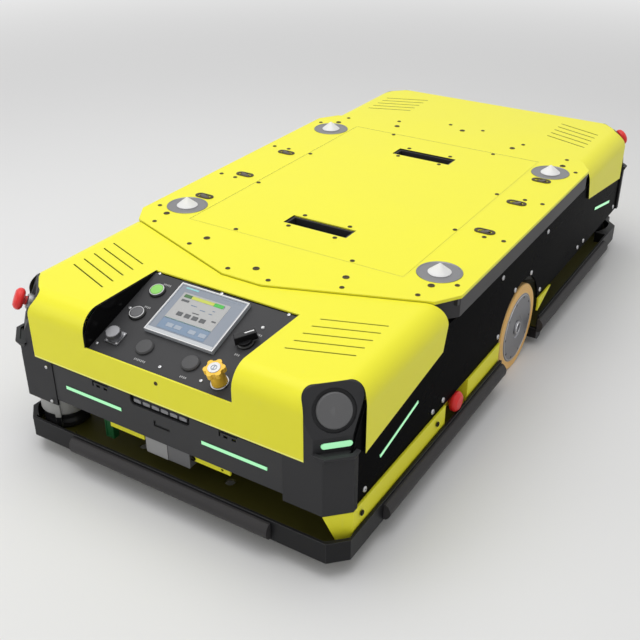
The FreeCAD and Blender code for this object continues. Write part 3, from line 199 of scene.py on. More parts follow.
shot = {
    "place": (1.62886, 0.86785, 1.07374), "azimuth": 121.72488, "elevation": 30.07242,
    "roll": 0.0452, "lens": 52.68, "sensor": 36.0, "shiftX": 0.00054, "near": 0.05, "far": 200.0,
}
studio = {
    "floorSize": 60.0, "floorColour": rgba(0.8, 0.8, 0.8),
    "floorCloud": {"scale": 0.8, "detail": 3.0}, "floorTones": (0.985, 1.01),
    "floorRoughness": 0.85, "uneven": 0.05, "skyStrength": 0.52, "skySeen": 0.94,
    "fade": (1.5, 5.5),  # the floor fades into the sky between these distances
}
lamps = {
    "keyLamp": {"place": (0.35, -0.25, 2.9), "aim": (0.0, 0.0, 0.2), "size": (3.4, 2.6),
                "power": 54.0},
    "fillLamp": {"place": (2.5, -2.0, 1.3), "aim": (0.6, -0.1, 0.2), "size": (1.8, 1.8),
                 "power": 13.0},
}


def addCamera():
    around = math.radians(shot["azimuth"])
    above = math.radians(shot["elevation"])
    back = Vector((math.sin(around) * math.cos(above), -math.cos(around) * math.cos(above),
                   math.sin(above)))
    right = Vector((math.cos(around), math.sin(around), 0))
    turn = Matrix((right, back.cross(right), back)).transposed().to_4x4()
    data = bpy.data.cameras.new("camera")
    data.lens = shot["lens"]
    data.sensor_width = shot["sensor"]
    data.shift_x = shot["shiftX"]
    data.clip_start = shot["near"]
    data.clip_end = shot["far"]
    camera = bpy.data.objects.new("camera", data)
    roll = Matrix.Rotation(math.radians(shot["roll"]), 4, "Z")
    camera.matrix_world = Matrix.Translation(shot["place"]) @ turn @ roll
    scene.collection.objects.link(camera)
    scene.camera = camera


def addLamp(name, place, aim, size, power):
    data = bpy.data.lights.new(name, "AREA")
    data.shape = "RECTANGLE"
    data.size, data.size_y = size
    data.energy = power
    lamp = bpy.data.objects.new(name, data)
    lamp.location = place
    way = Vector(aim) - Vector(place)
    lamp.rotation_euler = way.to_track_quat("-Z", "Y").to_euler()
    scene.collection.objects.link(lamp)


def addSky():
    world = bpy.data.worlds.new("sky")
    sky = Nodes(world)
    levels = {0: sky.seen(), 2: studio["skyStrength"], 3: studio["skySeen"]}
    strength = sky.node("ShaderNodeMix", {"data_type": "FLOAT"}, levels)
    light = {"Color": rgba(1.0, 1.0, 1.0), "Strength": strength}
    background = sky.node("ShaderNodeBackground", None, light)
    sky.node("ShaderNodeOutputWorld", None, {"Surface": background})
    scene.world = world


def addFloor():
    clearSelection()
    bpy.ops.mesh.primitive_plane_add(size=studio["floorSize"])
    floor = bpy.context.object
    floor.name = "floor"
    return floor


addCamera()
floor = addFloor()
for name, values in lamps.items():
    addLamp(name, **values)
addSky()
scene.view_settings.view_transform = "Standard"
print("camera, floor and light in place")

# Painted sheet: even colour, faint clouding, orange peel, painted edge highlights, painted joint
# shade.
# Each zone is a mask and the colour that the sheet has there.
sheet = {
    "cloud": {"scale": 5.0},
    "tones": (0.975, 1.02),  # shares of the colour in its dark and its pale clouds
    "peel": {"scale": 420.0, "detail": 2.0}, "peelDepth": 0.00004, "peelStrength": 0.6,
    "scuff": {"scale": 38.0, "detail": 6.0, "roughness": 0.7, "stretch": (1.0, 1.0, 0.25)},
    # the joint value sets how far the painted shade reaches into joints
    "scuffRange": (0.6, 0.74), "dust": rgba(0.55, 0.53, 0.45), "highlightShare": 0.6, "jointShade": 0.007,
    "uneven": 0.1,  # how far clouds and scuffs change the roughness
    "ior": 1.5,
}


def paint(name, colour, roughness, edge=1.25, radius=0.0012, dust=0.05, level=0.3, zones=(),
          highlightColour=None):
    f = Finish(name)
    cloud = f.noise(**sheet["cloud"])
    scuff = f.noise(**sheet["scuff"]).smooth(*sheet["scuffRange"])
    rounded = f.roundedNormal(radius)
    body = f.clouded(cloud, colour, sheet["tones"])
    # painted highlight along the edges
    body = f.blend(f.edges(rounded) * sheet["highlightShare"], body, highlightColour or shade(colour, edge))
    body = f.blend(scuff * dust, body, sheet["dust"])
    for mask, second in zones:
        body = f.blend(mask(f), body, second)
    # painted shade deep in the joints
    body = f.shadeJoints(body, colour, sheet["jointShade"])
    rough = roughness + (cloud - 0.5) * sheet["uneven"] + scuff * sheet["uneven"]
    peel = f.noise(**sheet["peel"])
    normal = f.bump(peel, sheet["peelDepth"], sheet["peelStrength"], rounded)
    return f.close(Base_Color=body, Roughness=rough, Normal=normal, IOR=sheet["ior"],
                   Specular_IOR_Level=level)


# Moulded plastic: fine spark-eroded grain, painted highlights along the edges, painted shade in the
# joints.
plastic = {
    "cloud": {"scale": 7.0}, "tones": (0.9, 1.08),
    "grain": {"scale": 1400.0, "detail": 2.0, "roughness": 0.6}, "grainStrength": 0.5,
    "smear": {"scale": 22.0, "detail": 5.0, "roughness": 0.65}, "smearRange": (0.5, 0.75),
    "radius": 0.0011, "unevenGrain": 0.12, "unevenSmear": 0.06, "ior": 1.48,
}


def moulding(name, colour, roughness, grain=0.00006, edge=2.2, edgeHighlightShare=0.6, level=0.5,
             zones=(), jointShade=0.006):
    f = Finish(name)
    fine = f.noise(**plastic["grain"])
    smear = f.noise(**plastic["smear"]).smooth(*plastic["smearRange"])
    rounded = f.roundedNormal(plastic["radius"])
    body = f.clouded(f.noise(**plastic["cloud"]), colour, plastic["tones"])
    for mask, second in zones:
        body = f.blend(mask(f), body, second)
    # painted highlight along the edges
    body = f.blend(f.edges(rounded) * edgeHighlightShare, body, shade(colour, edge))
    # painted shade deep in the joints
    body = f.shadeJoints(body, colour, jointShade)
    rough = roughness + (fine - 0.5) * plastic["unevenGrain"]
    rough = rough + smear * plastic["unevenSmear"]
    normal = f.bump(fine, grain, plastic["grainStrength"], rounded)
    return f.close(Base_Color=body, Roughness=rough, Normal=normal, IOR=plastic["ior"],
                   Specular_IOR_Level=level)


# Black plate: deep, with a faint haze, a few hairline wipes and painted highlights along its cut
# edges.
plate = {
    "haze": {"scale": 9.0}, "hazeRange": (0.35, 0.75),
    "wipes": {"scale": 60.0, "detail": 5.0, "roughness": 0.6, "stretch": (0.12, 1.0, 1.6)},
    "wipesRange": (0.55, 0.8), "paleTone": 1.7, "radius": 0.001, "highlightShare": 0.7,
    "cutEdgeHighlight": rgba(0.045, 0.045, 0.047), "uneven": 0.05, "wave": {"scale": 60.0, "detail": 2.0},
    "waveDepth": 0.00002, "waveStrength": 0.3, "ior": 1.45,
}


def blackPlate(name, colour, roughness, level):
    f = Finish(name)
    haze = f.noise(**plate["haze"]).smooth(*plate["hazeRange"])
    wipes = f.noise(**plate["wipes"]).smooth(*plate["wipesRange"])
    rounded = f.roundedNormal(plate["radius"])
    body = f.blend(haze * 0.5 + wipes * 0.5, colour, shade(colour, plate["paleTone"]))
    # painted highlight along the cut edges
    body = f.blend(f.edges(rounded) * plate["highlightShare"], body, plate["cutEdgeHighlight"])
    rough = roughness + haze * plate["uneven"] + wipes * plate["uneven"]
    wave = f.noise(**plate["wave"])
    normal = f.bump(wave, plate["waveDepth"], plate["waveStrength"], rounded)
    return f.close(Base_Color=body, Roughness=rough, Normal=normal, IOR=plate["ior"],
                   Specular_IOR_Level=level)


# Lit lens: pastel glow with painted shade in darker green at its ends, faint LED spots; its back
# stays dark.
mint = {
    "glow": rgba(0.42, 1.0, 0.53), "ends": rgba(0.03, 0.45, 0.12), "endShadeShare": 0.85,
    "spots": {"scale": 160.0, "detail": 1.0}, "spotGlow": rgba(0.8, 1.0, 0.85), "spotShare": 0.18,
    "back": rgba(0.002, 0.012, 0.004),
    "front": (0.14, 0.24),  # how far outwards a face looks where the glow starts and is full
    "body": rgba(0.03, 0.1, 0.05), "radius": 0.0016, "roughness": 0.3, "uneven": 0.08,
    "power": 0.85,
}


def lens(name):
    f = Finish(name)
    spots = f.noise(**mint["spots"])
    rounded = f.roundedNormal(mint["radius"])
    front = (f.x * f.nx + f.y * f.ny).smooth(*mint["front"])
    # painted shade: the glow turns darker green at the lens ends
    glow = f.blend(f.edges(rounded) * mint["endShadeShare"], mint["glow"], mint["ends"])
    glow = f.blend(spots * mint["spotShare"], glow, mint["spotGlow"])
    glow = f.blend(front, mint["back"], glow)
    rough = mint["roughness"] + spots * mint["uneven"]
    return f.close(Base_Color=mint["body"], Roughness=rough, Emission_Color=glow,
                   Emission_Strength=mint["power"], Normal=rounded)


# Bare or plated metal: fine streaks, longer along the brushed way, and painted highlights along
# the edges. A zone is painted over and isn't metal.
alloy = {
    "streaks": {"scale": 180.0, "roughness": 0.6}, "tones": (0.86, 1.08),
    "cloud": {"scale": 14.0}, "radius": 0.0006, "highlightShare": 0.5, "highlightTone": 1.3,
    "unevenStreaks": 0.16, "unevenCloud": 0.08, "depth": 0.00003, "strength": 0.4,
}


def metal(name, colour, roughness, brush=(1.0, 1.0, 1.0), zones=()):
    f = Finish(name)
    streaks = f.noise(**alloy["streaks"], stretch=brush)
    cloud = f.noise(**alloy["cloud"])
    rounded = f.roundedNormal(alloy["radius"])
    body = f.clouded(streaks, colour, alloy["tones"])
    # painted highlight along the edges
    rim = f.edges(rounded) * alloy["highlightShare"]
    body = f.blend(rim, body, shade(colour, alloy["highlightTone"]))
    bare = 1.0
    for mask, second in zones:
        painted = mask(f)
        body = f.blend(painted, body, second)
        bare = bare * (1.0 - painted)
    rough = roughness + (streaks - 0.5) * alloy["unevenStreaks"]
    rough = rough + (cloud - 0.5) * alloy["unevenCloud"]
    normal = f.bump(streaks, alloy["depth"], alloy["strength"], rounded)
    return f.close(Base_Color=body, Roughness=rough, Normal=normal, Metallic=bare)


# Rubber: matt and dark, with a fine grain, faint clouds and painted highlights along its edges.
matt = {
    "grain": {"scale": 700.0, "detail": 3.0, "roughness": 0.65}, "grainDepth": 0.00009,
    "grainStrength": 0.5, "cloud": {"scale": 11.0}, "tones": (0.85, 1.12), "radius": 0.0014,
    "highlightShare": 0.55, "highlightTone": 2.0, "uneven": 0.12, "ior": 1.47, "level": 0.22,
}


def rubber(name, colour, roughness):
    f = Finish(name)
    cloud = f.noise(**matt["cloud"])
    rounded = f.roundedNormal(matt["radius"])
    body = f.clouded(cloud, colour, matt["tones"])
    # painted highlight along the edges
    rim = f.edges(rounded) * matt["highlightShare"]
    body = f.blend(rim, body, shade(colour, matt["highlightTone"]))
    rough = roughness + (cloud - 0.5) * matt["uneven"]
    grain = f.noise(**matt["grain"])
    normal = f.bump(grain, matt["grainDepth"], matt["grainStrength"], rounded)
    return f.close(Base_Color=body, Roughness=rough, Normal=normal, IOR=matt["ior"],
                   Specular_IOR_Level=matt["level"])


# Polyurethane tread: amber with painted highlights on its shoulders, pale turning rings and a dusty
# running band.
amber = {
    "colour": rgba(0.82, 0.46, 0.12), "tones": (0.92, 1.06), "pale": rgba(0.92, 0.74, 0.36),
    "dust": rgba(0.36, 0.25, 0.13), "wheelRadius": 0.0932, "axle": 0.0932,
    "running": (0.0012, 0.0004),  # depths under the running face where the dust starts and is full
    "dustShare": (0.2, 0.25), "cloud": {"scale": 16.0}, "grain": {"scale": 900.0, "detail": 2.0},
    "grainDepth": 0.00004, "grainStrength": 0.4, "ringPitch": 1500.0, "ringShare": 0.22,
    "shoulder": 0.0022, "shoulderHighlightShare": 0.85, "roughness": 0.42, "uneven": 0.2, "level": 0.3,
}


def tread(name):
    f = Finish(name)
    up = f.z - amber["axle"]
    out = (f.x * f.x + up * up) ** 0.5
    running = out.smooth(*(amber["wheelRadius"] - depth for depth in amber["running"]))
    wave = f.node("ShaderNodeMath", {"operation": "SINE"}, {0: out * amber["ringPitch"]})
    rings = wave * 0.5 + 0.5
    cloud = f.noise(**amber["cloud"])
    rounded = f.roundedNormal(amber["shoulder"])
    body = f.clouded(cloud, amber["colour"], amber["tones"])
    body = f.blend(rings * amber["ringShare"], body, amber["pale"])
    # painted highlight on the shoulders
    body = f.blend(f.edges(rounded) * amber["shoulderHighlightShare"], body, amber["pale"])
    least, more = amber["dustShare"]
    body = f.blend(running * (least + cloud * more), body, amber["dust"])
    grain = f.noise(**amber["grain"])
    normal = f.bump(grain, amber["grainDepth"], amber["grainStrength"], rounded)
    rough = amber["roughness"] + running * amber["uneven"]
    return f.close(Base_Color=body, Roughness=rough, Normal=normal,
                   Specular_IOR_Level=amber["level"])


# Pale studio floor: faintly clouded near the robot, fading into the sky far away.
def studioFloor():
    f = Finish("floorPale")
    cloud = f.noise(**studio["floorCloud"])
    far = (f.x * f.x + f.y * f.y) ** 0.5
    sky = far.smooth(*studio["fade"]) * f.seen()
    black = rgba(0.0, 0.0, 0.0)
    base = f.clouded(cloud, studio["floorColour"], studio["floorTones"])
    base = f.blend(sky, base, black)
    glow = f.blend(sky, black, rgba(*[studio["skySeen"]] * 3))
    rough = studio["floorRoughness"] + (cloud - 0.5) * studio["uneven"]
    return f.close(Base_Color=base, Roughness=rough, Emission_Color=glow, Emission_Strength=1.0,
                   Specular_IOR_Level=0.0)


# Colours and borders of the zones: a zone lies beyond the value that its border names.
coat = {
    "yellow": rgba(0.88, 0.835, 0.032),
    # painted highlight colour along the yellow sheet's edges
    "yellowEdgeHighlight": rgba(1.0, 0.98, 0.22),
    # painted shade for the yellow walls that look into the robot
    "jointShade": rgba(0.01, 0.01, 0.008),
    # painted shade on the tray floor
    "trayFloorShade": rgba(0.06, 0.056, 0.01),  # the tray floor, out of the light
    "trayFloor": 0.056,
    "scannerBelt": 0.076,
    "belt": rgba(0.008, 0.008, 0.009),
    "lip": 0.2063,  # the covers' lower edge, bright where it bends
    # painted highlight on the covers' lower edge
    "lipHighlight": rgba(1.0, 0.97, 0.2),
    "seam": 0.1993,  # shadow on the lower panels under that edge
    "seamShadow": rgba(0.004, 0.004, 0.003),
    "eyeFace": 0.7139,  # front of the sensor bar
    "eyePaint": rgba(0.17, 0.17, 0.18),
    # painted shade on the corner modules' side walls
    "cornerWall": rgba(0.006, 0.006, 0.007),
    "sensorHalf": rgba(0.33, 0.33, 0.33),
    "square": 0.9,  # how squarely a face looks along an axis
    "sideStop": (0.4, 0.3),  # yellow collars lie within x and beyond y
    "sideCollar": rgba(0.8, 0.66, 0.03),
    "switchRow": (0.58, 0.07, 0.2),  # middle, reach along x and reach along y
    "switchCollar": rgba(0.012, 0.012, 0.012),
}
finishes = {
    # yellow sheet with painted highlights along its edges
    "yellow": paint("yellowPaint", coat["yellow"], 0.4, highlightColour=coat["yellowEdgeHighlight"],
                    # painted shade on the walls that look into the robot
                    zones=((Finish.inward, coat["jointShade"]),
                           # painted highlight along the covers' lower edge
                           (lambda f: (f.z < coat["lip"]) * (abs(f.nx) > coat["square"]),
                            coat["lipHighlight"]))),
    "yellowBase": paint("yellowBasePaint", shade(coat["yellow"], 0.95), 0.46, dust=0.09,
                        # painted shade on the tray floor
                        zones=((lambda f: f.z < coat["trayFloor"], coat["trayFloorShade"]),)),
    "yellowFrame": paint("yellowFramePaint", shade(coat["yellow"], 0.95), 0.46, dust=0.09),
    # corner modules, with painted shade on their side walls
    "mould": moulding("darkMoulding", rgba(0.03, 0.03, 0.032), 0.5, level=0.22,
                      zones=((lambda f: abs(f.ny) > coat["square"], coat["cornerWall"]),)),
    "panelSheet": moulding("lowerPanelPaint", rgba(0.038, 0.038, 0.04), 0.48, edge=1.8,
                           level=0.25, edgeHighlightShare=0.4,
                           zones=((lambda f: f.z > coat["seam"], coat["seamShadow"]),)),
    "sensorBar": moulding("sensorBarPlastic", rgba(0.02, 0.02, 0.022), 0.45, level=0.25,
                          zones=((lambda f: f.x > coat["eyeFace"], coat["eyePaint"]),)),
    "gloss": blackPlate("sideBlack", rgba(0.0026, 0.0026, 0.003), 0.24, 0.004),
    "recess": blackPlate("recessBlack", rgba(0.0045, 0.0045, 0.005), 0.16, 0.1),
    "lens": lens("mintLens"),
    "band": paint("bandPaint", rgba(0.029, 0.028, 0.03), 0.45, edge=2.6),
    # the rails' edges get a strong painted highlight
    "rail": paint("railPaint", rgba(0.011, 0.011, 0.012), 0.42, edge=11.0, radius=0.0018,
                  level=0.16, dust=0.02),
    "edgeRubber": rubber("edgeRubber", rgba(0.04, 0.038, 0.039), 0.55),
    "cap": moulding("capGrey", rgba(0.125, 0.125, 0.128), 0.5, edge=1.8, level=0.3),
    "plateCap": moulding("plateCapGrey", rgba(0.07, 0.07, 0.072), 0.5, edge=2.4, level=0.3),
    "sensor": moulding("sensorGrey", rgba(0.16, 0.16, 0.165), 0.5, edge=1.4, level=0.3,
                       zones=((lambda f: f.y < 0.0, coat["sensorHalf"]),)),
    "scanner": moulding("scannerGrey", rgba(0.36, 0.36, 0.35), 0.45, edge=1.25,
                        zones=((lambda f: f.z < coat["scannerBelt"], coat["belt"]),)),
    "seat": metal("seatGrey", rgba(0.26, 0.26, 0.27), 0.4),
    "cone": moulding("coneWhite", rgba(0.8, 0.8, 0.8), 0.38, edge=1.1),
    "steel": metal("steel", rgba(0.5, 0.5, 0.51), 0.34),
    "tyre": tread("wheelTan"),
    "hub": metal("hubGrey", rgba(0.26, 0.26, 0.275), 0.4, (1.0, 1.0, 0.15)),
    "castorTread": rubber("castorTread", rgba(0.05, 0.05, 0.052), 0.55),
    "zinc": metal("zinc", rgba(0.58, 0.58, 0.57), 0.38),
    "battery": paint("batteryBlue", rgba(0.02, 0.06, 0.16), 0.45, edge=1.8),
    "fins": metal("finAluminium", rgba(0.62, 0.62, 0.63), 0.4, (1.0, 0.1, 1.0)),
    "panel": moulding("panelGrey", rgba(0.042, 0.042, 0.044), 0.52, grain=0.00016, edge=2.0,
                      level=0.25, jointShade=0.005),
    "screenFrame": moulding("screenFrame", rgba(0.4, 0.42, 0.45), 0.4, edge=1.5, level=0.3,
                            jointShade=0.002),
    "screen": moulding("screenGlass", rgba(0.205, 0.235, 0.285), 0.22, 0.0, 1.0, jointShade=0.002),
    "green": moulding("buttonGreen", rgba(0.24, 0.62, 0.11), 0.35, edge=1.5),
    "buttonGrey": moulding("buttonGrey", rgba(0.1, 0.1, 0.105), 0.38, edge=1.5),
    "knob": moulding("blackKnob", rgba(0.01, 0.01, 0.011), 0.4, edge=3.0, level=0.3),
    "key": moulding("keyAmber", rgba(0.97, 0.58, 0.055), 0.34, edge=1.15, level=0.35),
    "socket": metal("socketGrey", rgba(0.26, 0.26, 0.27), 0.45),
    "red": moulding("stopRed", rgba(0.78, 0.026, 0.024), 0.33, edge=1.2, level=0.4),
    "collar": metal("collarSteel", rgba(0.42, 0.42, 0.43), 0.36,
                    zones=((lambda f: (abs(f.y) > coat["sideStop"][1])
                            * (abs(f.x) < coat["sideStop"][0]), coat["sideCollar"]),
                           (lambda f: (abs(f.x - coat["switchRow"][0]) < coat["switchRow"][1])
                            * (abs(f.y) < coat["switchRow"][2]), coat["switchCollar"]))),
    "motor": paint("motorDark", rgba(0.03, 0.03, 0.032), 0.45, edge=2.0),
    "floor": studioFloor(),
}
print("finishes made:", len(finishes))

finishOf = {
    "yellow": "front_cover rear_cover deck_plate",
    "yellowBase": "base_tray",
    "yellowFrame": "main_frame",
    "panelSheet": "front_lower_panel rear_lower_panel",
    "sensorBar": "front_sensor_bar",
    "gloss": "left_side_panel right_side_panel",
    "recess": "panel_recess",
    "lens": "lamp_lenses",
    "band": "deck_frame",
    "rail": "front_bumper_rail rear_bumper_rail",
    "edgeRubber": "front_safety_edge rear_safety_edge side_safety_edges",
    "cap": "corner_caps",
    "plateCap": "screw_caps",
    "sensor": "guide_sensor",
    "scanner": "front_scanner rear_scanner",
    "seat": "cone_seats",
    "cone": "locating_cones",
    "steel": "lift_rods",
    "tyre": "left_tyre right_tyre",
    "hub": "left_hub right_hub",
    "fins": "lift_cylinders controller_box",
    "battery": "battery_pack",
    "panel": "control_plate",
    "screenFrame": "touch_panel_housing",
    "screen": "touch_panel_screen",
    "green": "start_button",
    "buttonGrey": "stop_button",
    "knob": "selector_switch",
    "key": "access_key",
    "socket": "charge_socket",
    "collar": "switch_bodies",
    "motor": "left_drive_unit right_drive_unit",
}
corners = [f"{end}_{side}" for end in ("front", "rear") for side in ("left", "right")]
finishOf["mould"] = " ".join(corner + "_corner" for corner in corners)
finishOf["zinc"] = " ".join(corner + "_castor_fork" for corner in corners)
finishOf["castorTread"] = " ".join(corner + "_castor_wheel" for corner in corners)
finishOf["red"] = " ".join(f"{s}_estop_button" for s in ("front", "rear", "left", "right"))


def dress(piece, finish, place=None):  # gives a piece its finish and moves it to its place
    piece.data.materials.clear()
    piece.data.materials.append(finishes[finish])
    if place is not None:
        piece.data.transform(place)
    return piece


dressed = set()
for finish, names in finishOf.items():
    for name in names.split():
        for slot in nodes[name].material_slots:
            slot.material = finishes[finish]
            dressed.add(name)
dress(floor, "floor")
print("nodes dressed:", len(dressed), "left:", sorted(set(nodes) - dressed))


def named(name):
    piece = bpy.context.object
    piece.name = name
    piece.data.name = name
    return piece


def choose(piece):
    clearSelection()
    piece.select_set(True)
    bpy.context.view_layer.objects.active = piece


def cylinder(name, radius, height, base=0.0, sides=32):
    clearSelection()
    bpy.ops.mesh.primitive_cylinder_add(vertices=sides, radius=radius, depth=height,
                                        location=(0, 0, base + height / 2))
    bpy.ops.object.transform_apply()
    return named(name)


def brick(name, low, high):
    clearSelection()
    middle = [(a + b) / 2 for a, b in zip(low, high)]
    bpy.ops.mesh.primitive_cube_add(size=1, location=middle)
    bpy.context.object.scale = [b - a for a, b in zip(low, high)]
    bpy.ops.object.transform_apply()
    return named(name)


def editing(piece, mode="FACE"):
    choose(piece)
    bpy.ops.object.mode_set(mode="EDIT")
    bpy.ops.mesh.select_mode(type=mode)
    bpy.ops.mesh.select_all(action="DESELECT")


def pickFaces(piece, wanted):  # wanted(centre, normal) says which faces are selected
    editing(piece)
    mesh = bmesh.from_edit_mesh(piece.data)
    for face in mesh.faces:
        face.select_set(bool(wanted(face.calc_center_median(), face.normal)))
    bmesh.update_edit_mesh(piece.data)


def pickEdges(piece, wanted):  # wanted(middle, direction) says which edges are selected
    editing(piece, "EDGE")
    mesh = bmesh.from_edit_mesh(piece.data)
    for edge in mesh.edges:
        start, finish = edge.verts[0].co, edge.verts[1].co
        edge.select_set(bool(wanted((start + finish) / 2, (finish - start).normalized())))
    bmesh.update_edit_mesh(piece.data)


def upright(middle, direction):
    return abs(direction.z) > 0.9


def lengthwise(middle, direction):
    return abs(direction.x) > 0.9


def levelAbove(height):  # level edges above this height
    return lambda middle, direction: middle.z > height and abs(direction.z) < 0.5


def topFace(reach=1.0):  # faces that look up, with their middle this near to the axis
    return lambda centre, normal: normal.z > 0.9 and centre.xy.length < reach


def done():
    bpy.ops.object.mode_set(mode="OBJECT")


def roundEdges(piece, wanted, size, segments=2):
    pickEdges(piece, wanted)
    bpy.ops.mesh.bevel(offset=size, segments=segments, affect="EDGES")
    done()


def sink(piece, wanted, margin, depth, lean=0.00002):  # lean: how far the new wall slopes in
    pickFaces(piece, wanted)
    bpy.ops.mesh.inset(thickness=margin, depth=0)
    bpy.ops.mesh.inset(thickness=lean, depth=depth)
    done()


def cutWith(piece, cutter):
    modifier = piece.modifiers.new("cut", "BOOLEAN")
    modifier.operation = "DIFFERENCE"
    modifier.solver = "EXACT"
    modifier.object = cutter
    choose(piece)
    bpy.ops.object.modifier_apply(modifier=modifier.name)
    bpy.data.objects.remove(cutter)


def smooth(piece, angle=35):
    choose(piece)
    bpy.ops.object.shade_smooth_by_angle(angle=math.radians(angle))


def fuse(name, parts):  # joins pieces into one, each keeping its finish
    choose(parts[0])
    for part in parts:
        part.select_set(True)
    if len(parts) > 1:
        bpy.ops.object.join()
    return named(name)


def facing(point, normal, twist=0.0):  # puts a piece made about +Z at a point, facing normal
    turn = Vector(normal).to_track_quat("Z", "Y").to_matrix().to_4x4()
    return Matrix.Translation(point) @ turn @ Matrix.Rotation(math.radians(twist), 4, "Z")


def turned(points):  # the same places after half a turn of the robot, added to the first ones
    return points + [Matrix.Rotation(math.pi, 4, "Z") @ p for p in points]


def mounted(piece, body="chassis"):
    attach(piece, body)


def spread(name, master, places, body="chassis"):  # a copy of the master at each place
    copies = []
    for place in places:
        copy = master.copy()
        copy.data = master.data.copy()
        copy.data.transform(place)
        scene.collection.objects.link(copy)
        copies.append(copy)
    bpy.data.objects.remove(master)
    mounted(fuse(name, copies), body)


# Screws: head radius, height and half the width of the hexagon socket.
screw = {
    "deckSmall": (0.0045, 0.0011, 0.0018),
    "deckLarge": (0.0063, 0.0012, 0.0026),
    "side": (0.0052, 0.0028, 0.0021),
    "wall": (0.005, 0.002, 0.002),
    "panel": (0.0031, 0.002, 0.0013),
    "flange": (0.0021, 0.0014, 0.0009),
    "hub": (0.0034, 0.0018, 0.0016),
    "sensor": (0.0042, 0.0035, 0.0018),
    "nose": (0.0036, 0.001, 0.0016),
}
domed = {"edge": 0.7, "steps": 4, "key": 0.45, "dish": 0.0}  # shares of the head's height
sunk = {"edge": 0.45, "steps": 2, "key": 0.25, "dish": -0.3, "rim": 0.22}
finishes.update(
    deckScrew=moulding("darkScrew", rgba(0.055, 0.04, 0.014), 0.5, edge=2.6, level=0.3),
    eye=moulding("eyeGrey", rgba(0.26, 0.26, 0.275), 0.35, edge=1.5),
    tongue=moulding("tongueGrey", rgba(0.085, 0.07, 0.062), 0.38, edge=2.6),
    wallScrew=metal("blackScrew", rgba(0.02, 0.018, 0.012), 0.45),
    brightScrew=metal("brightScrew", rgba(0.6, 0.6, 0.61), 0.3),
)


def screwHead(size, finish, form=domed):  # button head, or countersunk with a dished middle
    radius, height, key = screw[size]
    head = cylinder("screw", radius, height)
    roundEdges(head, levelAbove(height * 0.9), height * form["edge"], form["steps"])
    if form["dish"]:
        sink(head, topFace(radius * 0.1), radius * form["rim"], height * form["dish"])
    cutWith(head, cylinder("socket", key, height, height * form["key"], 6))
    smooth(head)
    return dress(head, finish)


def placeScrews(name, head, points, normal, twist=0, body="chassis", both=False):
    places = [facing(point, normal, twist * i) for i, point in enumerate(points)]
    spread(name, head, turned(places) if both else places, body)


def allCorners(points):
    return sorted({(sx * x, sy * y) for x, y in points for sx in (-1, 1) for sy in (-1, 1)})


deckScrews = {  # places in one quarter of the deck
    "small": [(0.463, 0.043), (0.419, 0.164), (0.375, 0.285), (0.322, 0.1285), (0.309, 0.327),
              (0.1036, 0.2285), (0.103, 0.327), (0.1974, 0.0512), (0.2554, 0.052),
              (0.105, 0.289)],
    "large": [(0.4376, 0.0), (0.383, 0.151), (0.333, 0.2895)],
    "size": {"small": "deckSmall", "large": "deckLarge"}, "seat": 0.0001, "twist": 20,
}
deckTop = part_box("deck_plate")[1].z
for kind, size in deckScrews["size"].items():
    points = [(x, y, deckTop - deckScrews["seat"]) for x, y in allCorners(deckScrews[kind])]
    placeScrews("deck_screws_" + kind, screwHead(size, "deckScrew", sunk), points, (0, 0, 1),
                deckScrews["twist"], "deck")

eye = {
    "row": 0.28, "along": (0.224, 0.0812, -0.0812),
    "collar": (0.0105, 0.0105, -0.0004, 0.0016),  # end radius, half straight, low, high
    "hole": (0.006, 0.0085, -0.002, 0.004), "tongue": (0.0052, 0.0045, -0.003, 0.0012),
    "collarEdge": 0.0005, "tongueEdge": 0.0008, "tilt": 12,
    "tiltedLow": -0.001,  # the tilted top of the tongue lies above this
}


def oblong(name, radius, half, low, high):  # a flat bar with round ends, long across the deck
    bar = brick(name, (-radius, -half - radius, low), (radius, half + radius, high))
    roundEdges(bar, upright, radius * 0.999, 6)
    return bar


# Lashing eye: a dark oblong collar round each deck slot with a sprung tongue across it.
collar = oblong("deckEye", *eye["collar"])
cutWith(collar, oblong("hole", *eye["hole"]))
roundEdges(collar, levelAbove(eye["collar"][3] * 0.9), eye["collarEdge"])
smooth(collar)
dress(collar, "deckScrew")
tongue = oblong("tongue", *eye["tongue"])
pickFaces(tongue, topFace())
bpy.ops.transform.rotate(value=math.radians(eye["tilt"]), orient_axis="X",
                         center_override=(0, 0, 0))
done()
roundEdges(tongue, levelAbove(eye["tiltedLow"]), eye["tongueEdge"])
smooth(tongue)
dress(tongue, "tongue")
places = [facing((-x, eye["row"], deckTop), (0, 0, 1)) for x in eye["along"]]
spread("deck_eyes", fuse("deckEye", [collar, tongue]), turned(places), "deck")

bodyScrews = {
    "seat": 0.0002,  # how deep a head stands in its sheet
    "side": [(0.644, 0.128), (0.406, 0.128), (0.364, 0.128), (0.1155, 0.13), (0.044, 0.201),
             (0.1215, 0.2626)],
    "sideTwist": 15, "wall": [(0.66, 0.095), (0.392, 0.095)], "wallTwist": 25,
    "corner": [(-0.2475, 0.193), (-0.2475, 0.122)],
}
seat = bodyScrews["seat"]
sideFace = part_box("left_side_panel")[1].y
points = [(x * s, sideFace - seat, z) for x, z in bodyScrews["side"] for s in (-1, 1)]
placeScrews("side_panel_screws", screwHead("side", "steel"), points, (0, 1, 0),
            bodyScrews["sideTwist"], both=True)
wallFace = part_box("base_tray")[1].y
points = [(x, wallFace - seat, z) for x, z in bodyScrews["wall"]]
placeScrews("base_wall_screws", screwHead("wall", "wallScrew"), points, (0, 1, 0),
            bodyScrews["wallTwist"], both=True)
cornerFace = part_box("front_right_corner")[1].x
points = [(cornerFace - seat, y, z) for y, z in bodyScrews["corner"]]
placeScrews("corner_screws", screwHead("panel", "brightScrew"), points, (1, 0, 0), both=True)
print("screws placed")

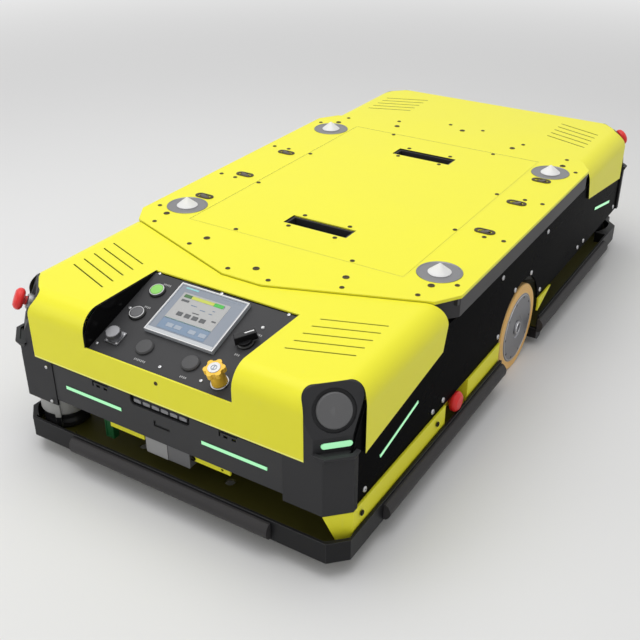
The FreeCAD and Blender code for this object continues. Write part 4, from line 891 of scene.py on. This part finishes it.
# Control panel: places on the tilted plate are in millimetres, down the plate and across it.
panel = {
    "angle": 19.3, "origin": (0.5278, 0.0, 0.3214),
    "screws": [(4.5, -140), (92, -139.4), (178.6, -142.5), (179.8, -6.7), (177.5, 74.2),
               (5.9, -3.4), (5.9, 132.2)],
    "screwSeat": -0.2, "screwTwist": 40,
}
onPanel = Matrix.Translation(panel["origin"]) @ Matrix.Rotation(math.radians(panel["angle"]),
                                                                4, "Y")


def panelPlace(along, across, height=0.0, twist=0.0):
    lift = Matrix.Translation((along / 1000, across / 1000, height / 1000))
    return onPanel @ lift @ Matrix.Rotation(math.radians(twist), 4, "Z")


places = [panelPlace(a, c, panel["screwSeat"], panel["screwTwist"] * i)
          for i, (a, c) in enumerate(panel["screws"])]
spread("control_plate_screws", screwHead("panel", "brightScrew"), places)

displayColours = {
    "Grey": rgba(0.39, 0.39, 0.385),
    "Blue": rgba(0.15, 0.225, 0.33),
    "Teal": rgba(0.24, 0.58, 0.6),
    "Dark": rgba(0.06, 0.065, 0.07),
    "Lime": rgba(0.5, 0.55, 0.06),
    "Green": rgba(0.03, 0.42, 0.03),
    "Olive": rgba(0.03, 0.13, 0.02),
    "Pale": rgba(0.3, 0.35, 0.42),
}
for name, colour in displayColours.items():
    name = "display" + name
    finishes[name] = moulding(name, colour, 0.25, grain=0.0, edge=1.0)
finishes.update(
    displayFoot=moulding("displayFoot", rgba(0.5, 0.52, 0.54), 0.3, grain=0.0, edge=1.0),
    plainWhite=moulding("plainWhite", rgba(0.8, 0.8, 0.8), 0.35, edge=1.1),
    markGrey=moulding("markGrey", rgba(0.4, 0.4, 0.4), 0.35, edge=1.1),
)
# left, top, right and bottom of each field as shares of the panel, layer, colour
fields = [
    (0.125, 0.16, 0.815, 0.695, 0, "Grey"), (0.125, 0.7, 0.815, 0.9, 0, "Blue"),
    (0.1, 0.06, 0.29, 0.09, 0, "Teal"), (0.13, 0.684, 0.81, 0.692, 1, "Teal"),
    (0.64, 0.07, 0.9, 0.082, 0, "Pale"), (0.742, 0.19, 0.748, 0.254, 1, "Teal"),
    (0.16, 0.19, 0.27, 0.25, 1, "Olive"), (0.272, 0.19, 0.6, 0.25, 1, "Lime"),
    (0.602, 0.186, 0.735, 0.254, 1, "Green"), (0.165, 0.29, 0.275, 0.33, 1, "Dark"),
    (0.24, 0.525, 0.32, 0.6, 1, "Dark"), (0.355, 0.525, 0.435, 0.6, 1, "Dark"),
    (0.465, 0.525, 0.545, 0.6, 1, "Dark"), (0.575, 0.525, 0.655, 0.6, 1, "Dark"),
    (0.725, 0.505, 0.785, 0.53, 1, "Dark"), (0.42, 0.47, 0.52, 0.485, 1, "Dark"),
    (0.33, 0.35, 0.42, 0.362, 1, "Blue"), (0.48, 0.385, 0.56, 0.397, 1, "Blue"),
    (0.64, 0.335, 0.68, 0.347, 1, "Blue"), (0.62, 0.4, 0.67, 0.412, 1, "Blue"),
    (0.225, 0.765, 0.325, 0.84, 1, "Pale"), (0.345, 0.765, 0.445, 0.84, 1, "Pale"),
    (0.55, 0.765, 0.65, 0.84, 1, "Pale"), (0.7, 0.765, 0.8, 0.84, 1, "Pale"),
]
screen = {  # millimetres on the plate
    "start": 12.6, "left": -79.8, "tall": 113.1, "wide": 141.4, "top": 7.6,
    "layer": 0.18,  # thickness of one layer of fields
    "sunk": 0.15, "fieldCorner": 0.0007,
    "footFrom": 0.925,  # share of the panel above the strip at its foot
    "footMargin": (1.5, 3.5), "footHeight": (7.4, 8.4), "footEdge": 0.0004,
    "rimHeight": (7.6, 8.3), "rimWidth": 2.1, "rimHole": (7.0, 9.0), "rimEdge": 0.0002,
}
start, left, tall, wide = (screen[key] for key in ("start", "left", "tall", "wide"))
end, right = start + tall, left + wide


def plateBrick(name, low, high):
    return brick(name, [v / 1000 for v in low], [v / 1000 for v in high])


tiles = []
for x0, y0, x1, y1, layer, colour in fields:
    low = screen["top"] + screen["layer"] * layer
    tile = plateBrick("field", (start + y0 * tall, left + x0 * wide, low - screen["sunk"]),
                      (start + y1 * tall, left + x1 * wide, low + screen["layer"]))
    roundEdges(tile, upright, screen["fieldCorner"])
    tiles.append(dress(tile, "display" + colour, onPanel))
mounted(fuse("screen_fields", tiles))

foot, side = screen["footMargin"]
low, high = screen["footHeight"]
strip = plateBrick("screen_foot", (start + screen["footFrom"] * tall, left + side, low),
                   (end - foot, right - side, high))
roundEdges(strip, levelAbove((low + high) / 2000), screen["footEdge"])
mounted(dress(strip, "displayFoot", onPanel))

line = screen["rimWidth"]
low, high = screen["rimHeight"]
under, over = screen["rimHole"]
rim = plateBrick("screen_rim", (start, left, low), (end, right, high))
cutWith(rim, plateBrick("hole", (start + line, left + line, under),
                        (end - line, right - line, over)))
roundEdges(rim, levelAbove((low + high) / 2000), screen["rimEdge"], 1)
mounted(dress(rim, "plainWhite", onPanel))


def band(name, inner, outer, base, height, finish, sides=48):  # flat ring with rounded edges
    ring = cylinder(name, outer, height, base, sides)
    cutWith(ring, cylinder("hole", inner, height * 3, base - height, sides))
    roundEdges(ring, lambda p, d: abs(d.z) < 0.5 and p.z > base + height * 0.9
               and abs(p.xy.length - outer) < (outer - inner) * 0.3, height * 0.4)
    smooth(ring)
    return dress(ring, finish)


buttonRing = {
    "places": {"start": (41.7, -116.5), "stop": (98.6, -117.3)},
    "shape": {"inner": 0.0119, "outer": 0.0131, "base": 0.0049, "height": 0.0009},
}
for name, place in buttonRing["places"].items():
    ring = band(name + "_ring", finish="plainWhite", **buttonRing["shape"])
    ring.data.transform(panelPlace(*place))
    mounted(ring)

# Rows of dashes where a panel has captions.
markAt = {
    "places": ((23.2, -108.9), (79.7, -110.0), (181.6, -47.9), (182.9, 42.0), (62.1, 110.2),
               (110.9, 98.5)),
    "length": (5, 4, 7, 4, 3, 3),  # dashes in each mark
    "dash": (0.0018, 0.0022), "gap": 0.0034,
    "second": (0.0003, 0.0008),  # every second dash is this much wider and shorter
    "height": (-0.0002, 0.00025), "corner": 0.0004,
}
marks = []
for place, count in zip(markAt["places"], markAt["length"]):
    for i in range(count):
        w, h = markAt["dash"]
        wider, shorter = (i % 2 * v for v in markAt["second"])
        y = (i - (count - 1) / 2) * markAt["gap"]
        low, high = markAt["height"]
        dash = brick("dash", (-h, y - w / 2 - wider, low), (h - shorter, y + w / 2, high))
        roundEdges(dash, upright, markAt["corner"])
        marks.append(dress(dash, "markGrey", panelPlace(*place)))
mounted(fuse("panel_marks", marks))

stripeAt = {
    "low": (0.003, -0.0011, 0.022), "high": (0.019, 0.0011, 0.0227), "corner": 0.0008,
    "place": (84.0, 98.0, 0.0, 135),
}
stripe = brick("selector_stripe", stripeAt["low"], stripeAt["high"])
roundEdges(stripe, upright, stripeAt["corner"], 3)
dress(stripe, "plainWhite", panelPlace(*stripeAt["place"]))
mounted(stripe, "selector_switch")

keyLabel = {
    "place": (169.1, 105.3),
    "disc": {"radius": 0.0102, "height": 0.0009, "base": 0.0369, "sides": 40},
    "dish": (0.0012, -0.00015),  # rim and depth
    "ring": {"inner": 0.004, "outer": 0.0052, "base": 0.0374, "height": 0.0006, "sides": 32},
    "barLow": (-0.0045, -0.0007, 0.0374), "barHigh": (0.0045, 0.0007, 0.038), "barCorner": 0.0004,
}
onKey = panelPlace(*keyLabel["place"])
disc = cylinder("key_label", **keyLabel["disc"])
sink(disc, topFace(), *keyLabel["dish"])
smooth(disc)
ring = band("key_mark", finish="displayPale", **keyLabel["ring"])
bar = brick("key_bar", keyLabel["barLow"], keyLabel["barHigh"])
roundEdges(bar, upright, keyLabel["barCorner"])
parts = [dress(disc, "plainWhite", onKey), dress(ring, "displayPale", onKey),
         dress(bar, "displayPale", onKey)]
mounted(fuse("key_label", parts), "access_key")

pilotAt = {"place": (46.2, 106.7), "radius": 0.003, "height": 0.0024, "edge": 0.0014}
pilot = cylinder("panel_pilot", pilotAt["radius"], pilotAt["height"], 0.0, 24)
roundEdges(pilot, levelAbove(pilotAt["height"] * 0.9), pilotAt["edge"], 4)
smooth(pilot)
dress(pilot, "plainWhite", panelPlace(*pilotAt["place"]))
mounted(pilot)

socketAt = {
    "place": (157.1, -118.2), "ribs": 18, "ribLow": (0.0123, -0.0007, 0.0092),
    "ribHigh": (0.0131, 0.0007, 0.0165), "ribEdge": 0.0004, "screwOut": 10.5, "screwHeight": 2.0,
    "screwTwist": 30,
}
ribs = []
for i in range(socketAt["ribs"]):
    rib = brick("rib", socketAt["ribLow"], socketAt["ribHigh"])
    roundEdges(rib, lambda p, d: p.x > socketAt["ribHigh"][0] - 0.0003 and upright(p, d),
               socketAt["ribEdge"])
    twist = 360 / socketAt["ribs"] * i
    ribs.append(dress(rib, "socket", panelPlace(*socketAt["place"], twist=twist)))
mounted(fuse("socket_cap_ribs", ribs))
along, across = socketAt["place"]
out = socketAt["screwOut"]
places = [panelPlace(along + sx * out, across + sy * out, socketAt["screwHeight"],
                     socketAt["screwTwist"]) for sx in (-1, 1) for sy in (-1, 1)]
spread("socket_screws", screwHead("flange", "brightScrew"), places)
print("control panel detailed")

wheel = {
    "axle": 0.0932, "face": 0.34, "bolts": 10, "boltCircle": 0.0646, "boltSeat": -0.0021,
    "ring": {"inner": 0.0692, "outer": 0.0704, "base": -0.0002, "height": 0.0007, "sides": 96},
    "boss": {"radius": 0.015, "height": 0.004, "sides": 48}, "bossEdge": 0.0022,
    "bossMouth": (0.003, -0.0022),  # rim and depth
    "bossSeat": -0.0027,
    "collar": {"inner": 0.0108, "outer": 0.0128, "base": 0.0012, "height": 0.0018, "sides": 48},
    "collarSeat": -0.0004,
}


def hubDetails(side):  # bolts and rings on one drive wheel; side is 1 for left, -1 for right
    def outward(radius, angle, lift):
        a = math.radians(angle)
        point = (radius * math.cos(a), side * (wheel["face"] + lift),
                 wheel["axle"] + radius * math.sin(a))
        return facing(point, (0, side, 0), angle)

    name = "left" if side > 0 else "right"
    body = name + "_wheel"
    bolts = [outward(wheel["boltCircle"], 360 / wheel["bolts"] * i, wheel["boltSeat"])
             for i in range(wheel["bolts"])]
    spread(name + "_hub_screws", screwHead("hub", "wallScrew"), bolts, body)
    ring = band("ring", finish="brightScrew", **wheel["ring"])
    boss = cylinder("boss", **wheel["boss"])
    roundEdges(boss, levelAbove(wheel["boss"]["height"] * 0.9), wheel["bossEdge"], 3)
    sink(boss, topFace(0.002), *wheel["bossMouth"])
    smooth(boss)
    collar = band("polished", finish="brightScrew", **wheel["collar"])
    ring.data.transform(outward(0, 0, 0))
    collar.data.transform(outward(0, 0, wheel["collarSeat"]))
    dress(boss, "hub", outward(0, 0, wheel["bossSeat"]))
    mounted(fuse(name + "_hub_rings", [ring, boss, collar]), body)


hubDetails(1)
hubDetails(-1)
print("wheels detailed")

# Under the nose: a green connector beside the guide sensor.
finishes["wireGreen"] = moulding("wireGreen", rgba(0.01, 0.085, 0.025), 0.45, edge=1.6, level=0.2)
plugAt = {
    "low": (0.686, -0.1475, 0.072), "high": (0.7, -0.1285, 0.1195), "corner": 0.0012,
    "mouth": (0.0022, -0.0012),  # rim and depth
}
plug = brick("green_plug", plugAt["low"], plugAt["high"])
roundEdges(plug, upright, plugAt["corner"])
plugMiddle = (plugAt["low"][1] + plugAt["high"][1]) / 2
sink(plug, lambda p, n: n.x > 0.9 and abs(p.y - plugMiddle) < 0.002, *plugAt["mouth"])
mounted(dress(plug, "wireGreen"))

# Pairs of latch tabs in the slots of the front lower panel.
tabAt = {
    "middles": (-0.1275, 0.1375), "pair": ((-0.013, -0.002), (0.002, 0.013)),
    "along": (0.7085, 0.7105), "up": (0.187, 0.1965), "corner": 0.001,
}
tabs = []
for y in tabAt["middles"]:
    for low, high in tabAt["pair"]:
        back, front = tabAt["along"]
        foot, top = tabAt["up"]
        tab = brick("tab", (back, y + low, foot), (front, y + high, top))
        roundEdges(tab, lengthwise, tabAt["corner"])
        tabs.append(dress(tab, "knob"))
mounted(fuse("latch_tabs", tabs))

# Dark trim round the angled slot under the sensor window.
trimAt = {
    "left": -0.014, "low": 0.156, "across": 0.031, "up": 0.01, "slot": 0.0025, "border": 0.0013,
    "proud": 0.0004, "sunk": 0.0004,
    "past": 0.01,  # how far the cutters reach past the trim
    "lap": 0.00001,  # and past each other
    "corner": 0.0005,
}
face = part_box("front_lower_panel")[1].x
back, front = face - trimAt["sunk"], face + trimAt["proud"]
left, low, border, slot, past = (trimAt[key] for key in ("left", "low", "border", "slot", "past"))
right, top = left + trimAt["across"], low + trimAt["up"]
inner = slot + border
trim = brick("slot_trim", (back, left - border, low - border), (front, right + border, top + border))
holes = ((left + inner, low + inner, right + past, top + past),
         (left, low, right, low + slot),
         (left, low - trimAt["lap"], left + slot, top))
for y0, z0, y1, z1 in holes:
    cutWith(trim, brick("hole", (back - past, y0, z0), (front + past, y1, z1)))
roundEdges(trim, lengthwise, trimAt["corner"])
mounted(dress(trim, "knob"))

# Windows in the front of the sensor bar.
window = {
    "pitch": 0.019, "count": 6, "half": (0.0072, 0.003), "face": 0.7136, "sunk": 0.001,
    "proud": 0.0014, "corner": 0.0008,
    "mouth": (0.0012, -0.0003),  # rim and depth
}
barLow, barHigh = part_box("front_sensor_bar")
z = 0.5 * (barLow.z + barHigh.z)
wide, tall = window["half"]
back, front = window["face"] - window["sunk"], window["face"] + window["proud"]
tiles = []
for i in range(window["count"]):
    y = (i - (window["count"] - 1) / 2) * window["pitch"]
    tile = brick("eye", (back, y - wide, z - tall), (front, y + wide, z + tall))
    roundEdges(tile, lengthwise, window["corner"])
    sink(tile, lambda p, n: n.x > 0.9 and p.x > front - 0.0004, *window["mouth"])
    tiles.append(dress(tile, "eye"))
mounted(fuse("sensor_eyes", tiles))

noseScrews = {"sensor": (0.7045, 0.0535, 0.108), "nose": (0.7178, 0.0, 0.2445)}
placeScrews("guide_sensor_screw", screwHead("sensor", "wallScrew"), [noseScrews["sensor"]],
            (1, 0, 0))
placeScrews("nose_screw", screwHead("nose", "deckScrew", sunk), [noseScrews["nose"]], (1, 0, 0))
print("nose detailed")
